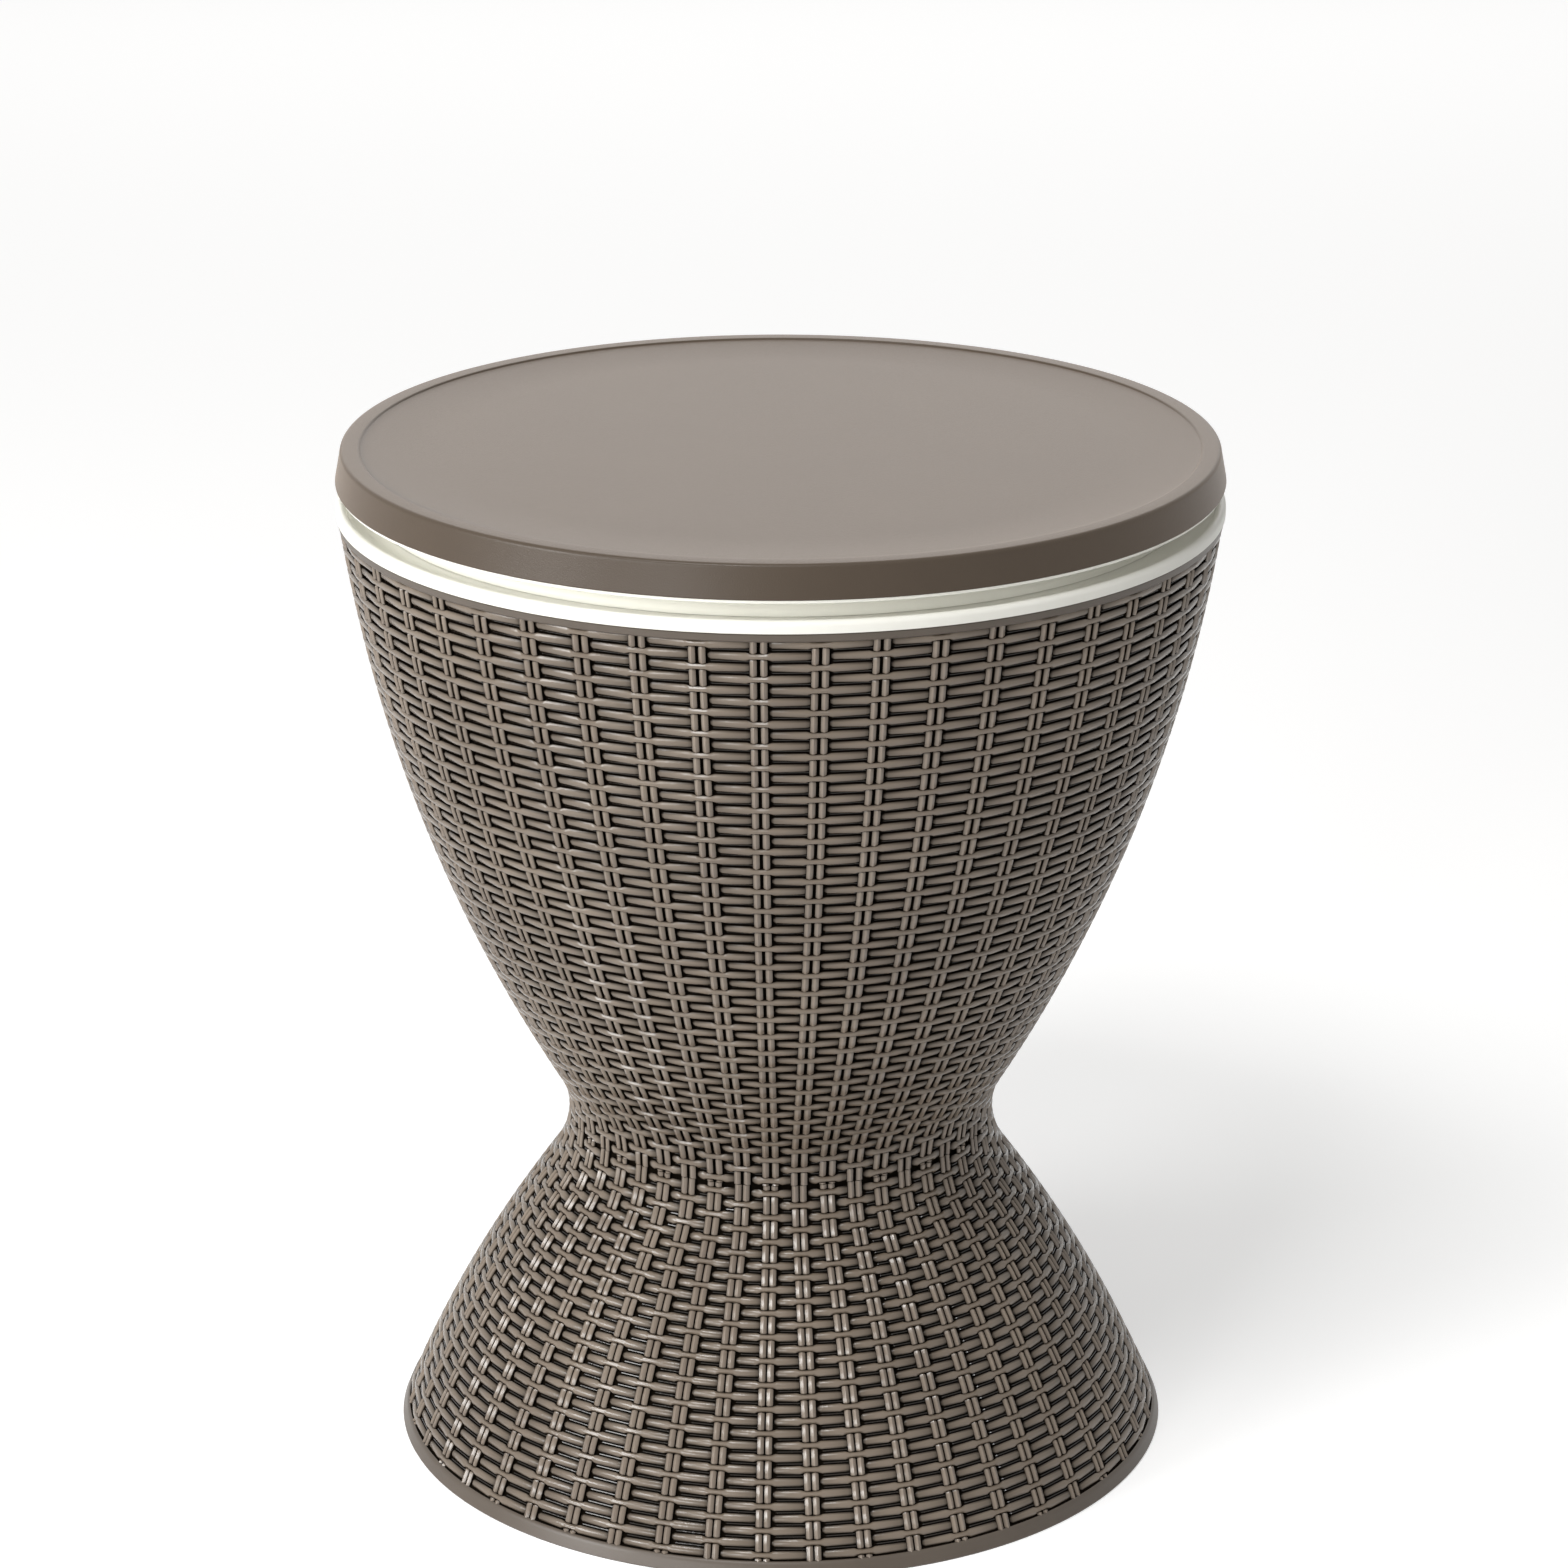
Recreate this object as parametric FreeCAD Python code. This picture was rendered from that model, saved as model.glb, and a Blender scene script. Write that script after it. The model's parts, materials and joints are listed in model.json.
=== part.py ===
"""Round cooler table: a double-walled tub on a woven-look waisted pedestal, with a tray lid that
turns and lifts on a telescoping centre column. Millimetres, +Z up, origin at the foot's centre."""

import FreeCAD, Part
import math
import os

from FreeCAD import Vector

os.makedirs("parts", exist_ok=True)

# Overall form: radii and heights of the outside, measured over the weave
overall_height = 578.0
barrel_top_radius = 242.5
foot_radius = 219.8
waist_radius = 120.8
waist_height = 190.0
seam_height = 187.0
barrel_throat_radius = 48.0
barrel_throat_turn = 31.0
base_throat_radius = 59.0
base_throat_turn = 36.3
foot_band_height = 8.0
top_band_height = 5.0
weave_relief = 3.2

# Strands of the weave: how many lie round each shell, and how far the end ones keep from its ends
barrel_strands = 58
barrel_seam_gap = 2.8
barrel_band_gap = 2.5
base_strands = 31
base_seam_gap = 4.6
base_band_gap = 3.5
strand_crest = 3.0

# Shell walls and the joint at the waist
shell_wall = 2.4
foot_ledge_width = 10.0
rim_ledge_width = 9.0
waist_flange_thickness = 4.0
waist_opening_radius = 92.0
waist_screw_circle = 104.0
waist_screw_count = 6
waist_boss_radius = 6.0
waist_boss_depth = 18.0
spigot_wall = 3.0
spigot_height = 5.0

# Tub
tub_wall = 3.0
tub_air_gap = 12.6
tub_floor_height = 265.0
tub_floor_thickness = 3.5
tub_corner_radius = 16.0
rim_overhang = 0.5
rim_height = 6.5
rim_bead_width = 6.0
gutter_dip = 0.7
seat_width = 2.5
tub_boss_radius = 5.0
tub_boss_depth = 11.0

# Lid
lid_inset = 2.5
skirt_spread = 3.0
skirt_height = 18.2
channel_height = 10.8
lid_wall = 3.0
lip_width = 10.5
lip_round = 2.5
tray_depth = 2.4
tray_step = 1.5
liner_lip_height = 1.8
liner_lip_inset = 1.4
cove_radius = 11.0
seat_gap = 0.3
mouth_lip_depth = 5.0
mouth_clearance = 2.5
lid_screw_circle = 182.0
lid_screw_count = 6
lid_boss_radius = 5.0

# Centre column and its tracks
column_radius = 32.0
column_wall = 4.0
column_foot_gap = 5.0
column_floor = 3.0
column_inset = 12.5
column_flange_radius = 50.0
column_flange_thickness = 4.0
column_gusset_height = 22.0
column_gusset_thickness = 3.0
column_screw_circle = 42.0
column_screw_count = 4
gasket_thickness = 2.0
track_depth = 2.5
track_count = 2
lug_width = 10.0
lug_height = 8.0
turn_range = 30.0

# Telescoping tube
tube_radius = 24.0
tube_wall = 2.5
tube_head_room = 6.6
rib_width = 4.0
rib_depth = 1.5
foot_clearance = 7.0
foot_thickness = 10.0
foot_spigot_length = 24.0
pin_radius = 2.5
pin_inset = 0.6
bush_length = 53.7
bush_flange_radius = 31.0
bush_flange_thickness = 3.0
collar_wall = 3.5
collar_skirt = 12.0
collar_lip = 2.0
socket_flange_radius = 48.0
socket_flange_thickness = 4.0
socket_wall = 3.5
socket_screw_circle = 42.0
socket_screw_count = 4

# Drain in the tub floor
drain_offset = 72.0
drain_bore = 10.0
drain_wall = 3.0
drain_flange_radius = 19.0
drain_flange_thickness = 2.5
drain_length = 28.0
drain_gasket_thickness = 1.5
drain_nut_across_flats = 36.0
drain_nut_height = 8.0
plug_depth = 12.0
plug_head_radius = 14.0
plug_head_height = 4.0
plug_grip_height = 14.0
plug_grip_width = 5.0
plug_ring_section = 2.0

# Screws
screw_radius = 2.2
screw_head_radius = 4.5
screw_head_height = 2.8
screw_bite = 14.0
screw_tip_room = 1.5

# Clearances
running_fit = 0.05
free_gap = 0.3
hole_clearance = 0.4
skirt_gap = 0.5


class Bend:
    """One circular stretch of a shell's outline; side is -1 where the outline curls inwards."""

    def __init__(self, centre_r, centre_z, size, side):
        self.centre_r = centre_r
        self.centre_z = centre_z
        self.size = size
        self.side = side

    def inwards(self, depth):
        return Bend(self.centre_r, self.centre_z, self.size - self.side * depth, self.side)

    def radius_at(self, z):
        reach = math.sqrt(self.size ** 2 - (z - self.centre_z) ** 2)
        return self.centre_r + self.side * reach

    def angle_at(self, z):
        return math.asin((z - self.centre_z) / self.size)

    def length(self, z_from, z_to):
        return self.size * abs(self.angle_at(z_to) - self.angle_at(z_from))

    def point(self, angle, depth):
        reach = self.size - self.side * depth
        return (self.centre_r + self.side * reach * math.cos(angle), self.centre_z + reach * math.sin(angle))


class Outline:
    """A waisted outline: a tight throat at the waist that runs tangent into one long bulge."""

    def __init__(self, throat_radius, throat_turn, end_radius, end_height):
        self.up = 1.0 if end_height > waist_height else -1.0
        turn = math.radians(throat_turn)
        throat_centre = waist_radius + throat_radius
        self.throat = Bend(throat_centre, waist_height, throat_radius, -1)
        joint_r = throat_centre - throat_radius * math.cos(turn)
        joint_z = waist_height + self.up * throat_radius * math.sin(turn)
        run = math.hypot(end_radius - joint_r, end_height - joint_z)
        lean = math.atan2(end_radius - joint_r, abs(end_height - joint_z))
        bulge_radius = run / (2.0 * math.sin(turn - lean))
        centre_r = joint_r - bulge_radius * math.cos(turn)
        centre_z = joint_z + self.up * bulge_radius * math.sin(turn)
        self.bulge = Bend(centre_r, centre_z, bulge_radius, 1)
        self.turn_sine = math.sin(turn)

    def joint_height(self, depth):
        return waist_height + self.up * (self.throat.size + depth) * self.turn_sine

    def radius_at(self, z, depth=0.0):
        past_joint = self.up * (z - self.joint_height(depth)) > 0
        bend = self.bulge if past_joint else self.throat
        return bend.inwards(depth).radius_at(z)

    def path(self, z_from, z_to, depth):
        """Steps of a profile that follow the outline, set in by depth, from one height to another."""
        steps = []
        joint = self.joint_height(depth)
        stations = [z_from, z_to]
        if min(z_from, z_to) < joint < max(z_from, z_to):
            stations = [z_from, joint, z_to]
        for start, stop in zip(stations, stations[1:]):
            middle = 0.5 * (start + stop)
            steps.append((self.radius_at(middle, depth), middle, self.radius_at(stop, depth), stop))
        return steps

    def along(self, distance, depth):
        """The point at a distance from the seam, measured over the weave, and set in by depth."""
        bend = self.throat
        start = seam_height
        joint = self.joint_height(0.0)
        throat_length = self.throat.length(seam_height, joint)
        if distance > throat_length:
            bend = self.bulge
            start = joint
            distance -= throat_length
        return bend.point(bend.angle_at(start) + self.up * distance / bend.size, depth)

    def strands(self, count, seam_gap, band_gap, band_edge):
        """Profile points from the seam to the plain band: a crest for each strand and a groove between."""
        joint = self.joint_height(0.0)
        whole = self.throat.length(seam_height, joint) + self.bulge.length(joint, band_edge)
        pitch = (whole - seam_gap - band_gap) / (count - 1)
        points = []
        for row in range(count):
            middle = seam_gap + row * pitch
            points.append(self.along(middle - strand_crest / 2.0, 0.0))
            points.append(self.along(middle + strand_crest / 2.0, 0.0))
            points.append(self.along(middle + pitch / 2.0, weave_relief))
        return points[:-1]

    def chords(self, z_from, z_to, depth, count):
        """Straight steps that follow the outline, for walls that nobody sees."""
        heights = [z_from + (z_to - z_from) * step / count for step in range(1, count + 1)]
        return [(self.radius_at(z, depth), z) for z in heights]


def turned(steps):
    """A solid turned about Z from a closed profile: (r, z) is a line, (r, z, r, z) an arc."""
    points = [Vector(step[-2], 0, step[-1]) for step in steps]
    edges = []
    previous = points[-1]
    for step, point in zip(steps, points):
        if len(step) == 4:
            edges.append(Part.Arc(previous, Vector(step[0], 0, step[1]), point).toShape())
        elif previous.distanceToPoint(point) > 1e-6:
            edges.append(Part.LineSegment(previous, point).toShape())
        previous = point
    face = Part.Face(Part.Wire(edges))
    return face.revolve(Vector(0, 0, 0), Vector(0, 0, 1), 360)


def washer(outer, inner, low, high):
    return turned([(outer, low), (outer, high), (inner, high), (inner, low)])


def rod(radius, low, high, x=0.0, y=0.0):
    return Part.makeCylinder(radius, high - low, Vector(x, y, low))


def circle_places(circle, count):
    """Points spread evenly round a circle, the first one half a step from +X."""
    angles = [2.0 * math.pi * (step + 0.5) / count for step in range(count)]
    return [(circle * math.cos(angle), circle * math.sin(angle)) for angle in angles]


def rods(radius, low, high, places):
    return [rod(radius, low, high, x, y) for x, y in places]


def sector(inner, outer, low, high, start, sweep):
    """A block of a ring wall, from start degrees and sweep degrees wide."""
    outer_block = Part.makeCylinder(outer, high - low, Vector(0, 0, low), Vector(0, 0, 1), sweep)
    block = outer_block.cut(rod(inner, low - 1.0, high + 1.0))
    block.rotate(Vector(0, 0, 0), Vector(0, 0, 1), start)
    return block


def screw(x, y, seat, direction, shank):
    """A pan-head screw with its head on the seat; direction is +1 where it is driven upwards."""
    head = rod(screw_head_radius, 0.0, screw_head_height)
    body = head.fuse(rod(screw_radius, screw_head_height - 0.5, screw_head_height + shank))
    if direction < 0:
        body.rotate(Vector(0, 0, 0), Vector(1, 0, 0), 180)
    body.translate(Vector(x, y, seat - direction * screw_head_height))
    return body


def screws(places, seat, direction, shank):
    return Part.makeCompound([screw(x, y, seat, direction, shank) for x, y in places])


lid_radius = barrel_top_radius - lid_inset
skirt_bottom = overall_height - skirt_height
barrel_top_height = skirt_bottom - channel_height - rim_height
barrel = Outline(barrel_throat_radius, barrel_throat_turn, barrel_top_radius, barrel_top_height)
base = Outline(base_throat_radius, base_throat_turn, foot_radius, 0.0)
weave_depth = weave_relief
wall_depth = weave_relief + shell_wall
tub_depth = wall_depth + tub_air_gap

waist_places = circle_places(waist_screw_circle, waist_screw_count)
lid_places = circle_places(lid_screw_circle, lid_screw_count)
column_places = circle_places(column_screw_circle, column_screw_count)
socket_places = circle_places(socket_screw_circle, socket_screw_count)
pilot_radius = screw_radius + running_fit
clear_radius = screw_radius + hole_clearance

waist_flange_top = seam_height + waist_flange_thickness
flange_bottom = seam_height - waist_flange_thickness
tub_underside = tub_floor_height - tub_floor_thickness
seat_height = barrel_top_height + tub_wall
rim_radius = barrel_top_radius + rim_overhang
tub_mouth_radius = barrel.radius_at(barrel_top_height, tub_depth + tub_wall)

plate_underside = overall_height - tray_depth - lid_wall
channel_radius = tub_mouth_radius + seat_width
liner_lip_bottom = skirt_bottom - liner_lip_height
pan_rim = seat_height + seat_gap
pan_bottom = pan_rim - mouth_lip_depth
pan_floor = pan_bottom + lid_wall
mouth_lip_radius = tub_mouth_radius - mouth_clearance

column_bottom = waist_flange_top + column_foot_gap
column_top = barrel_top_height - column_inset
column_bore = column_radius - column_wall
gasket_top = tub_floor_height + gasket_thickness
column_flange_top = gasket_top + column_flange_thickness
foot_bottom = column_bottom + column_floor + foot_clearance
foot_top = foot_bottom + foot_thickness
bush_bottom = column_top - bush_length
lift_travel = bush_bottom - free_gap - foot_top
tube_top = plate_underside - tube_head_room
bush_top = column_top + 2 * running_fit + bush_flange_thickness
collar_lip_bottom = bush_top + free_gap
collar_inner = tube_radius + rib_depth + skirt_gap
socket_bottom = pan_bottom - socket_flange_thickness


def skirt_inner(z):
    """Inside radius of the flared skirt at a height."""
    return lid_radius - lid_wall + skirt_spread * (overall_height - lip_round - z) / (skirt_height - lip_round)


def base_shell():
    foot_inner = base.radius_at(0.0) - foot_ledge_width
    steps = [(base.radius_at(0.0), 0.0)]
    steps += base.path(0.0, foot_band_height, 0.0)
    steps += [(base.radius_at(foot_band_height, weave_depth), foot_band_height)]
    strands = base.strands(base_strands, base_seam_gap, base_band_gap, foot_band_height)
    steps += reversed(strands)
    steps += [(base.radius_at(seam_height, weave_depth), seam_height)]
    steps += [(waist_opening_radius, seam_height)]
    steps += [(waist_opening_radius, flange_bottom)]
    steps += [(base.radius_at(flange_bottom, wall_depth), flange_bottom)]
    throat_end = base.joint_height(wall_depth)
    steps += base.path(flange_bottom, throat_end, wall_depth)
    steps += base.chords(throat_end, shell_wall, wall_depth, 3)
    steps += [(foot_inner, shell_wall), (foot_inner, 0.0)]
    shell = turned(steps)
    spigot_outer = waist_opening_radius - free_gap
    spigot = turned([
        (waist_opening_radius, flange_bottom),
        (waist_opening_radius, seam_height),
        (spigot_outer, seam_height),
        (spigot_outer, waist_flange_top + spigot_height),
        (spigot_outer - spigot_wall, waist_flange_top + spigot_height),
        (spigot_outer - spigot_wall, flange_bottom),
    ])
    boss_bottom = flange_bottom - waist_boss_depth
    bosses = rods(waist_boss_radius, boss_bottom, seam_height - 1.0, waist_places)
    pilots = rods(pilot_radius, boss_bottom + screw_tip_room, seam_height + 1.0, waist_places)
    return shell.multiFuse([spigot] + bosses).cut(Part.makeCompound(pilots)).removeSplitter()


def barrel_shell():
    band_bottom = barrel_top_height - top_band_height
    ledge_bottom = barrel_top_height - shell_wall
    ledge_inner = barrel_top_radius - shell_wall - rim_ledge_width
    throat_end = barrel.joint_height(wall_depth)
    steps = [(waist_opening_radius, seam_height)]
    steps += [(barrel.radius_at(seam_height, weave_depth), seam_height)]
    steps += barrel.strands(barrel_strands, barrel_seam_gap, barrel_band_gap, band_bottom)
    steps += [(barrel.radius_at(band_bottom, weave_depth), band_bottom)]
    steps += [(barrel.radius_at(band_bottom), band_bottom)]
    steps += barrel.path(band_bottom, barrel_top_height, 0.0)
    steps += [(ledge_inner, barrel_top_height), (ledge_inner, ledge_bottom)]
    steps += [(barrel.radius_at(ledge_bottom, wall_depth), ledge_bottom)]
    steps += barrel.chords(ledge_bottom, throat_end, wall_depth, 4)
    steps += barrel.path(throat_end, waist_flange_top, wall_depth)
    steps += [(waist_opening_radius, waist_flange_top)]
    holes = rods(clear_radius, seam_height - 1.0, waist_flange_top + 1.0, waist_places)
    return turned(steps).cut(Part.makeCompound(holes))


def rounded(shape, height, smallest, radius):
    """Rounds the level circular edges at a height whose radius is at least the smallest."""
    edges = []
    for edge in shape.Edges:
        box = edge.BoundBox
        level = abs(box.ZMin - height) < 0.01 and abs(box.ZMax - height) < 0.01
        if level and box.XMax > smallest:
            edges.append(edge)
    return shape.makeFillet(radius, edges)


def inner_tub():
    wall_top = barrel_top_height
    rim_top = barrel_top_height + rim_height
    bead_radius = rim_bead_width / 2.0
    bead_inner = rim_radius - rim_bead_width
    bead_low = rim_top - bead_radius
    gutter_middle = (channel_radius + bead_inner) / 2.0
    floor_edge = column_radius + hole_clearance
    steps = [(rim_radius, barrel_top_height), (rim_radius, bead_low)]
    steps += [(rim_radius - bead_radius, rim_top, bead_inner, bead_low)]
    steps += [(gutter_middle, seat_height - gutter_dip, channel_radius, seat_height)]
    steps += [(tub_mouth_radius, seat_height), (tub_mouth_radius, wall_top)]
    steps += barrel.chords(wall_top, tub_floor_height, tub_depth + tub_wall, 4)
    steps += [(floor_edge, tub_floor_height), (floor_edge, tub_underside)]
    steps += [(barrel.radius_at(tub_underside, tub_depth), tub_underside)]
    steps += barrel.chords(tub_underside, wall_top, tub_depth, 4)
    tub = rounded(turned(steps), tub_floor_height, 2.0 * floor_edge, tub_corner_radius)
    tub = rounded(tub, tub_underside, 2.0 * floor_edge, tub_corner_radius + tub_wall)
    boss_bottom = tub_underside - tub_boss_depth
    bosses = rods(tub_boss_radius, boss_bottom, tub_floor_height - 1.0, column_places)
    pilots = rods(pilot_radius, boss_bottom + screw_tip_room, tub_floor_height + 1.0, column_places)
    drain_hole = rod(drain_bore + drain_wall + hole_clearance, tub_underside - 1.0,
                     tub_floor_height + 1.0, 0.0, drain_offset)
    return tub.multiFuse(bosses).cut(Part.makeCompound(pilots + [drain_hole])).removeSplitter()


def guide_column():
    wall = turned([
        (0.0, column_bottom),
        (column_radius, column_bottom),
        (column_radius, gasket_top),
        (column_flange_radius, gasket_top),
        (column_flange_radius, column_flange_top),
        (column_radius, column_flange_top),
        (column_radius, column_top),
        (column_bore, column_top),
        (column_bore, column_bottom + column_floor),
        (0.0, column_bottom + column_floor),
    ])
    reach = column_flange_radius - column_radius
    gusset_face = Part.Face(Part.makePolygon([
        Vector(column_radius - 1.0, 0, column_flange_top),
        Vector(column_radius + reach - 2.0, 0, column_flange_top),
        Vector(column_radius, 0, column_flange_top + column_gusset_height),
        Vector(column_radius - 1.0, 0, column_flange_top + column_gusset_height),
        Vector(column_radius - 1.0, 0, column_flange_top),
    ]))
    gussets = []
    for step in range(column_screw_count):
        gusset = gusset_face.extrude(Vector(0, column_gusset_thickness, 0))
        gusset.translate(Vector(0, -column_gusset_thickness / 2.0, 0))
        gusset.rotate(Vector(0, 0, 0), Vector(0, 0, 1), 360.0 * step / column_screw_count)
        gussets.append(gusset)
    cuts = rods(clear_radius, gasket_top - 1.0, column_flange_top + 1.0, column_places)
    slot_half = math.degrees((lug_width / 2.0 + free_gap) / column_bore)
    track_outer = column_bore + track_depth
    low = foot_bottom + (foot_thickness - lug_height) / 2.0 - free_gap
    high = low + lug_height + 2.0 * free_gap
    for step in range(track_count):
        start = 360.0 * step / track_count - slot_half
        wide = 2.0 * slot_half + turn_range
        cuts.append(sector(column_bore - 1.0, track_outer, low, column_top + 1.0, start, 2.0 * slot_half))
        cuts.append(sector(column_bore - 1.0, track_outer, low, high, start, wide))
        cuts.append(sector(column_bore - 1.0, track_outer, low + lift_travel, high + lift_travel, start, wide))
    return wall.multiFuse(gussets).cut(Part.makeCompound(cuts)).removeSplitter()


def column_gasket():
    ring = washer(column_flange_radius - 1.0, column_radius + hole_clearance, tub_floor_height, gasket_top)
    holes = rods(clear_radius, tub_floor_height - 1.0, gasket_top + 1.0, column_places)
    return ring.cut(Part.makeCompound(holes))


def column_collar():
    inner = column_radius + running_fit
    outer = inner + collar_wall
    return turned([
        (outer, column_top - collar_skirt),
        (outer, collar_lip_bottom + collar_lip),
        (collar_inner, collar_lip_bottom + collar_lip),
        (collar_inner, collar_lip_bottom),
        (inner, collar_lip_bottom),
        (inner, column_top - collar_skirt),
    ])


def tube_section(outer, low, high, rib_gap):
    """A round bar with the tube's two key ribs, grown by a gap where it is used as a cutter."""
    bar = rod(outer, low, high)
    reach = outer + rib_depth
    width = rib_width + 2.0 * rib_gap
    rib = Part.makeBox(width, 2.0 * reach, high - low, Vector(-width / 2.0, -reach, low))
    return bar.fuse(rib.common(rod(reach, low, high)))


def guide_bush():
    barrel_part = turned([
        (column_bore - running_fit, bush_bottom),
        (column_bore - running_fit, bush_top - bush_flange_thickness),
        (bush_flange_radius, bush_top - bush_flange_thickness),
        (bush_flange_radius, bush_top),
        (0.0, bush_top),
        (0.0, bush_bottom),
    ])
    return barrel_part.cut(tube_section(tube_radius + running_fit, bush_bottom - 1.0, bush_top + 1.0, free_gap))


def lift_tube():
    bore = tube_radius - tube_wall
    tube = tube_section(tube_radius, foot_top, tube_top, 0.0).cut(rod(bore, foot_top - 1.0, tube_top + 1.0))
    holes = [cross_pin(height, 2.0 * tube_radius) for height in (foot_pin_height(), head_pin_height())]
    return tube.cut(Part.makeCompound(holes)).removeSplitter()


def cross_pin(height, half_length):
    """A pin across the tube, along X."""
    return Part.makeCylinder(pin_radius, 2.0 * half_length, Vector(-half_length, 0, height), Vector(1, 0, 0))


def foot_pin_height():
    return foot_top + foot_spigot_length / 2.0


def head_pin_height():
    return (pan_floor + tube_top) / 2.0


def tube_foot():
    spigot = tube_radius - tube_wall - running_fit
    body = turned([
        (0.0, foot_bottom),
        (column_bore - free_gap, foot_bottom),
        (column_bore - free_gap, foot_top),
        (spigot, foot_top),
        (spigot, foot_top + foot_spigot_length),
        (0.0, foot_top + foot_spigot_length),
    ])
    half = math.degrees(lug_width / 2.0 / column_bore)
    low = foot_bottom + (foot_thickness - lug_height) / 2.0
    lug_outer = column_bore + track_depth - free_gap
    lugs = []
    for step in range(track_count):
        start = 360.0 * step / track_count - half
        lugs.append(sector(column_bore - 2.0, lug_outer, low, low + lug_height, start, 2.0 * half))
    return body.multiFuse(lugs).cut(cross_pin(foot_pin_height(), tube_radius)).removeSplitter()


def foot_pin():
    return cross_pin(foot_pin_height(), tube_radius - pin_inset)


def head_pin():
    return cross_pin(head_pin_height(), tube_radius + running_fit + socket_wall)


def tube_socket():
    inner = tube_radius + running_fit
    outer = inner + socket_wall
    body = turned([
        (socket_flange_radius, socket_bottom),
        (socket_flange_radius, pan_bottom),
        (outer + rib_depth, pan_bottom),
        (outer + rib_depth, tube_top + lid_wall),
        (0.0, tube_top + lid_wall),
        (0.0, socket_bottom),
    ])
    body = body.cut(tube_section(inner, socket_bottom - 1.0, tube_top, running_fit))
    holes = rods(clear_radius, socket_bottom - 1.0, pan_bottom + 1.0, socket_places)
    return body.cut(Part.makeCompound(holes + [cross_pin(head_pin_height(), 2.0 * outer)]))


def tabletop():
    step_inner = lid_radius - lip_width
    skirt_outer = lid_radius + skirt_spread
    corner_r = lid_radius - lip_round
    corner_z = overall_height - lip_round
    shift = lip_round * math.sqrt(0.5)
    top = turned([
        (0.0, plate_underside),
        (skirt_inner(plate_underside), plate_underside),
        (skirt_inner(skirt_bottom), skirt_bottom),
        (skirt_outer, skirt_bottom),
        (lid_radius, corner_z),
        (corner_r + shift, corner_z + shift, corner_r, overall_height),
        (step_inner, overall_height),
        (step_inner - tray_step, overall_height - tray_depth),
        (0.0, overall_height - tray_depth),
    ])
    bosses = rods(lid_boss_radius, pan_floor, plate_underside + 1.0, lid_places)
    pilots = rods(pilot_radius, pan_floor - 1.0, pan_bottom + screw_bite + screw_tip_room + lid_wall, lid_places)
    return top.multiFuse(bosses).cut(Part.makeCompound(pilots)).removeSplitter()


def lid_underside():
    skirt_r = skirt_inner(skirt_bottom) - skirt_gap
    top_r = skirt_inner(plate_underside) - skirt_gap
    lip_r = lid_radius + skirt_spread - liner_lip_inset
    cove_shift = cove_radius * (1.0 - math.sqrt(0.5))
    pan = turned([
        (mouth_lip_radius, pan_bottom),
        (mouth_lip_radius, pan_rim),
        (channel_radius, pan_rim),
        (channel_radius, liner_lip_bottom - cove_radius),
        (channel_radius + cove_shift, liner_lip_bottom - cove_shift, channel_radius + cove_radius, liner_lip_bottom),
        (lip_r, liner_lip_bottom),
        (lip_r, skirt_bottom),
        (skirt_r, skirt_bottom),
        (top_r, plate_underside),
        (top_r - lid_wall, plate_underside),
        (skirt_r - lid_wall, liner_lip_bottom + lid_wall),
        (channel_radius + cove_radius - lid_wall, liner_lip_bottom + lid_wall),
        (channel_radius - lid_wall, liner_lip_bottom + lid_wall - cove_radius),
        (channel_radius - lid_wall, pan_rim + lid_wall),
        (mouth_lip_radius - lid_wall, pan_rim + lid_wall),
        (mouth_lip_radius - lid_wall, pan_floor),
        (socket_hole_radius(), pan_floor),
        (socket_hole_radius(), pan_bottom),
    ])
    bosses = rods(tub_boss_radius, pan_bottom, pan_floor + screw_bite, socket_places)
    pilots = rods(pilot_radius, pan_bottom - 1.0, pan_floor + screw_bite - screw_tip_room, socket_places)
    holes = rods(clear_radius, pan_bottom - 1.0, pan_floor + 1.0, lid_places)
    pan = pan.multiFuse(bosses).cut(Part.makeCompound(pilots + holes))
    return pan.cut(rod(socket_hole_radius(), pan_bottom - 1.0, plate_underside + 1.0)).removeSplitter()


def socket_hole_radius():
    return tube_radius + running_fit + socket_wall + rib_depth + hole_clearance


def drain_fitting():
    gasket_face = tub_floor_height + drain_gasket_thickness
    tube = drain_bore + drain_wall
    fitting = turned([
        (drain_bore, gasket_face + drain_flange_thickness - drain_length),
        (tube, gasket_face + drain_flange_thickness - drain_length),
        (tube, gasket_face),
        (drain_flange_radius, gasket_face),
        (drain_flange_radius, gasket_face + drain_flange_thickness),
        (drain_bore, gasket_face + drain_flange_thickness),
    ])
    fitting.translate(Vector(0, drain_offset, 0))
    return fitting


def drain_gasket():
    high = tub_floor_height + drain_gasket_thickness
    ring = washer(drain_flange_radius, drain_bore + drain_wall + running_fit, tub_floor_height, high)
    ring.translate(Vector(0, drain_offset, 0))
    return ring


def drain_nut():
    corner = drain_nut_across_flats / math.sqrt(3.0)
    corners = [Vector(x, y, tub_underside) for x, y in circle_places(corner, 6)]
    hexagon = Part.Face(Part.makePolygon(corners + corners[:1]))
    nut = hexagon.extrude(Vector(0, 0, -drain_nut_height))
    hole = rod(drain_bore + drain_wall + running_fit, tub_underside - drain_nut_height - 1.0, tub_underside + 1.0)
    nut = nut.cut(hole)
    nut.translate(Vector(0, drain_offset, 0))
    return nut


def plug_seat():
    return tub_floor_height + drain_gasket_thickness + drain_flange_thickness + 2.0 * running_fit


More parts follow.
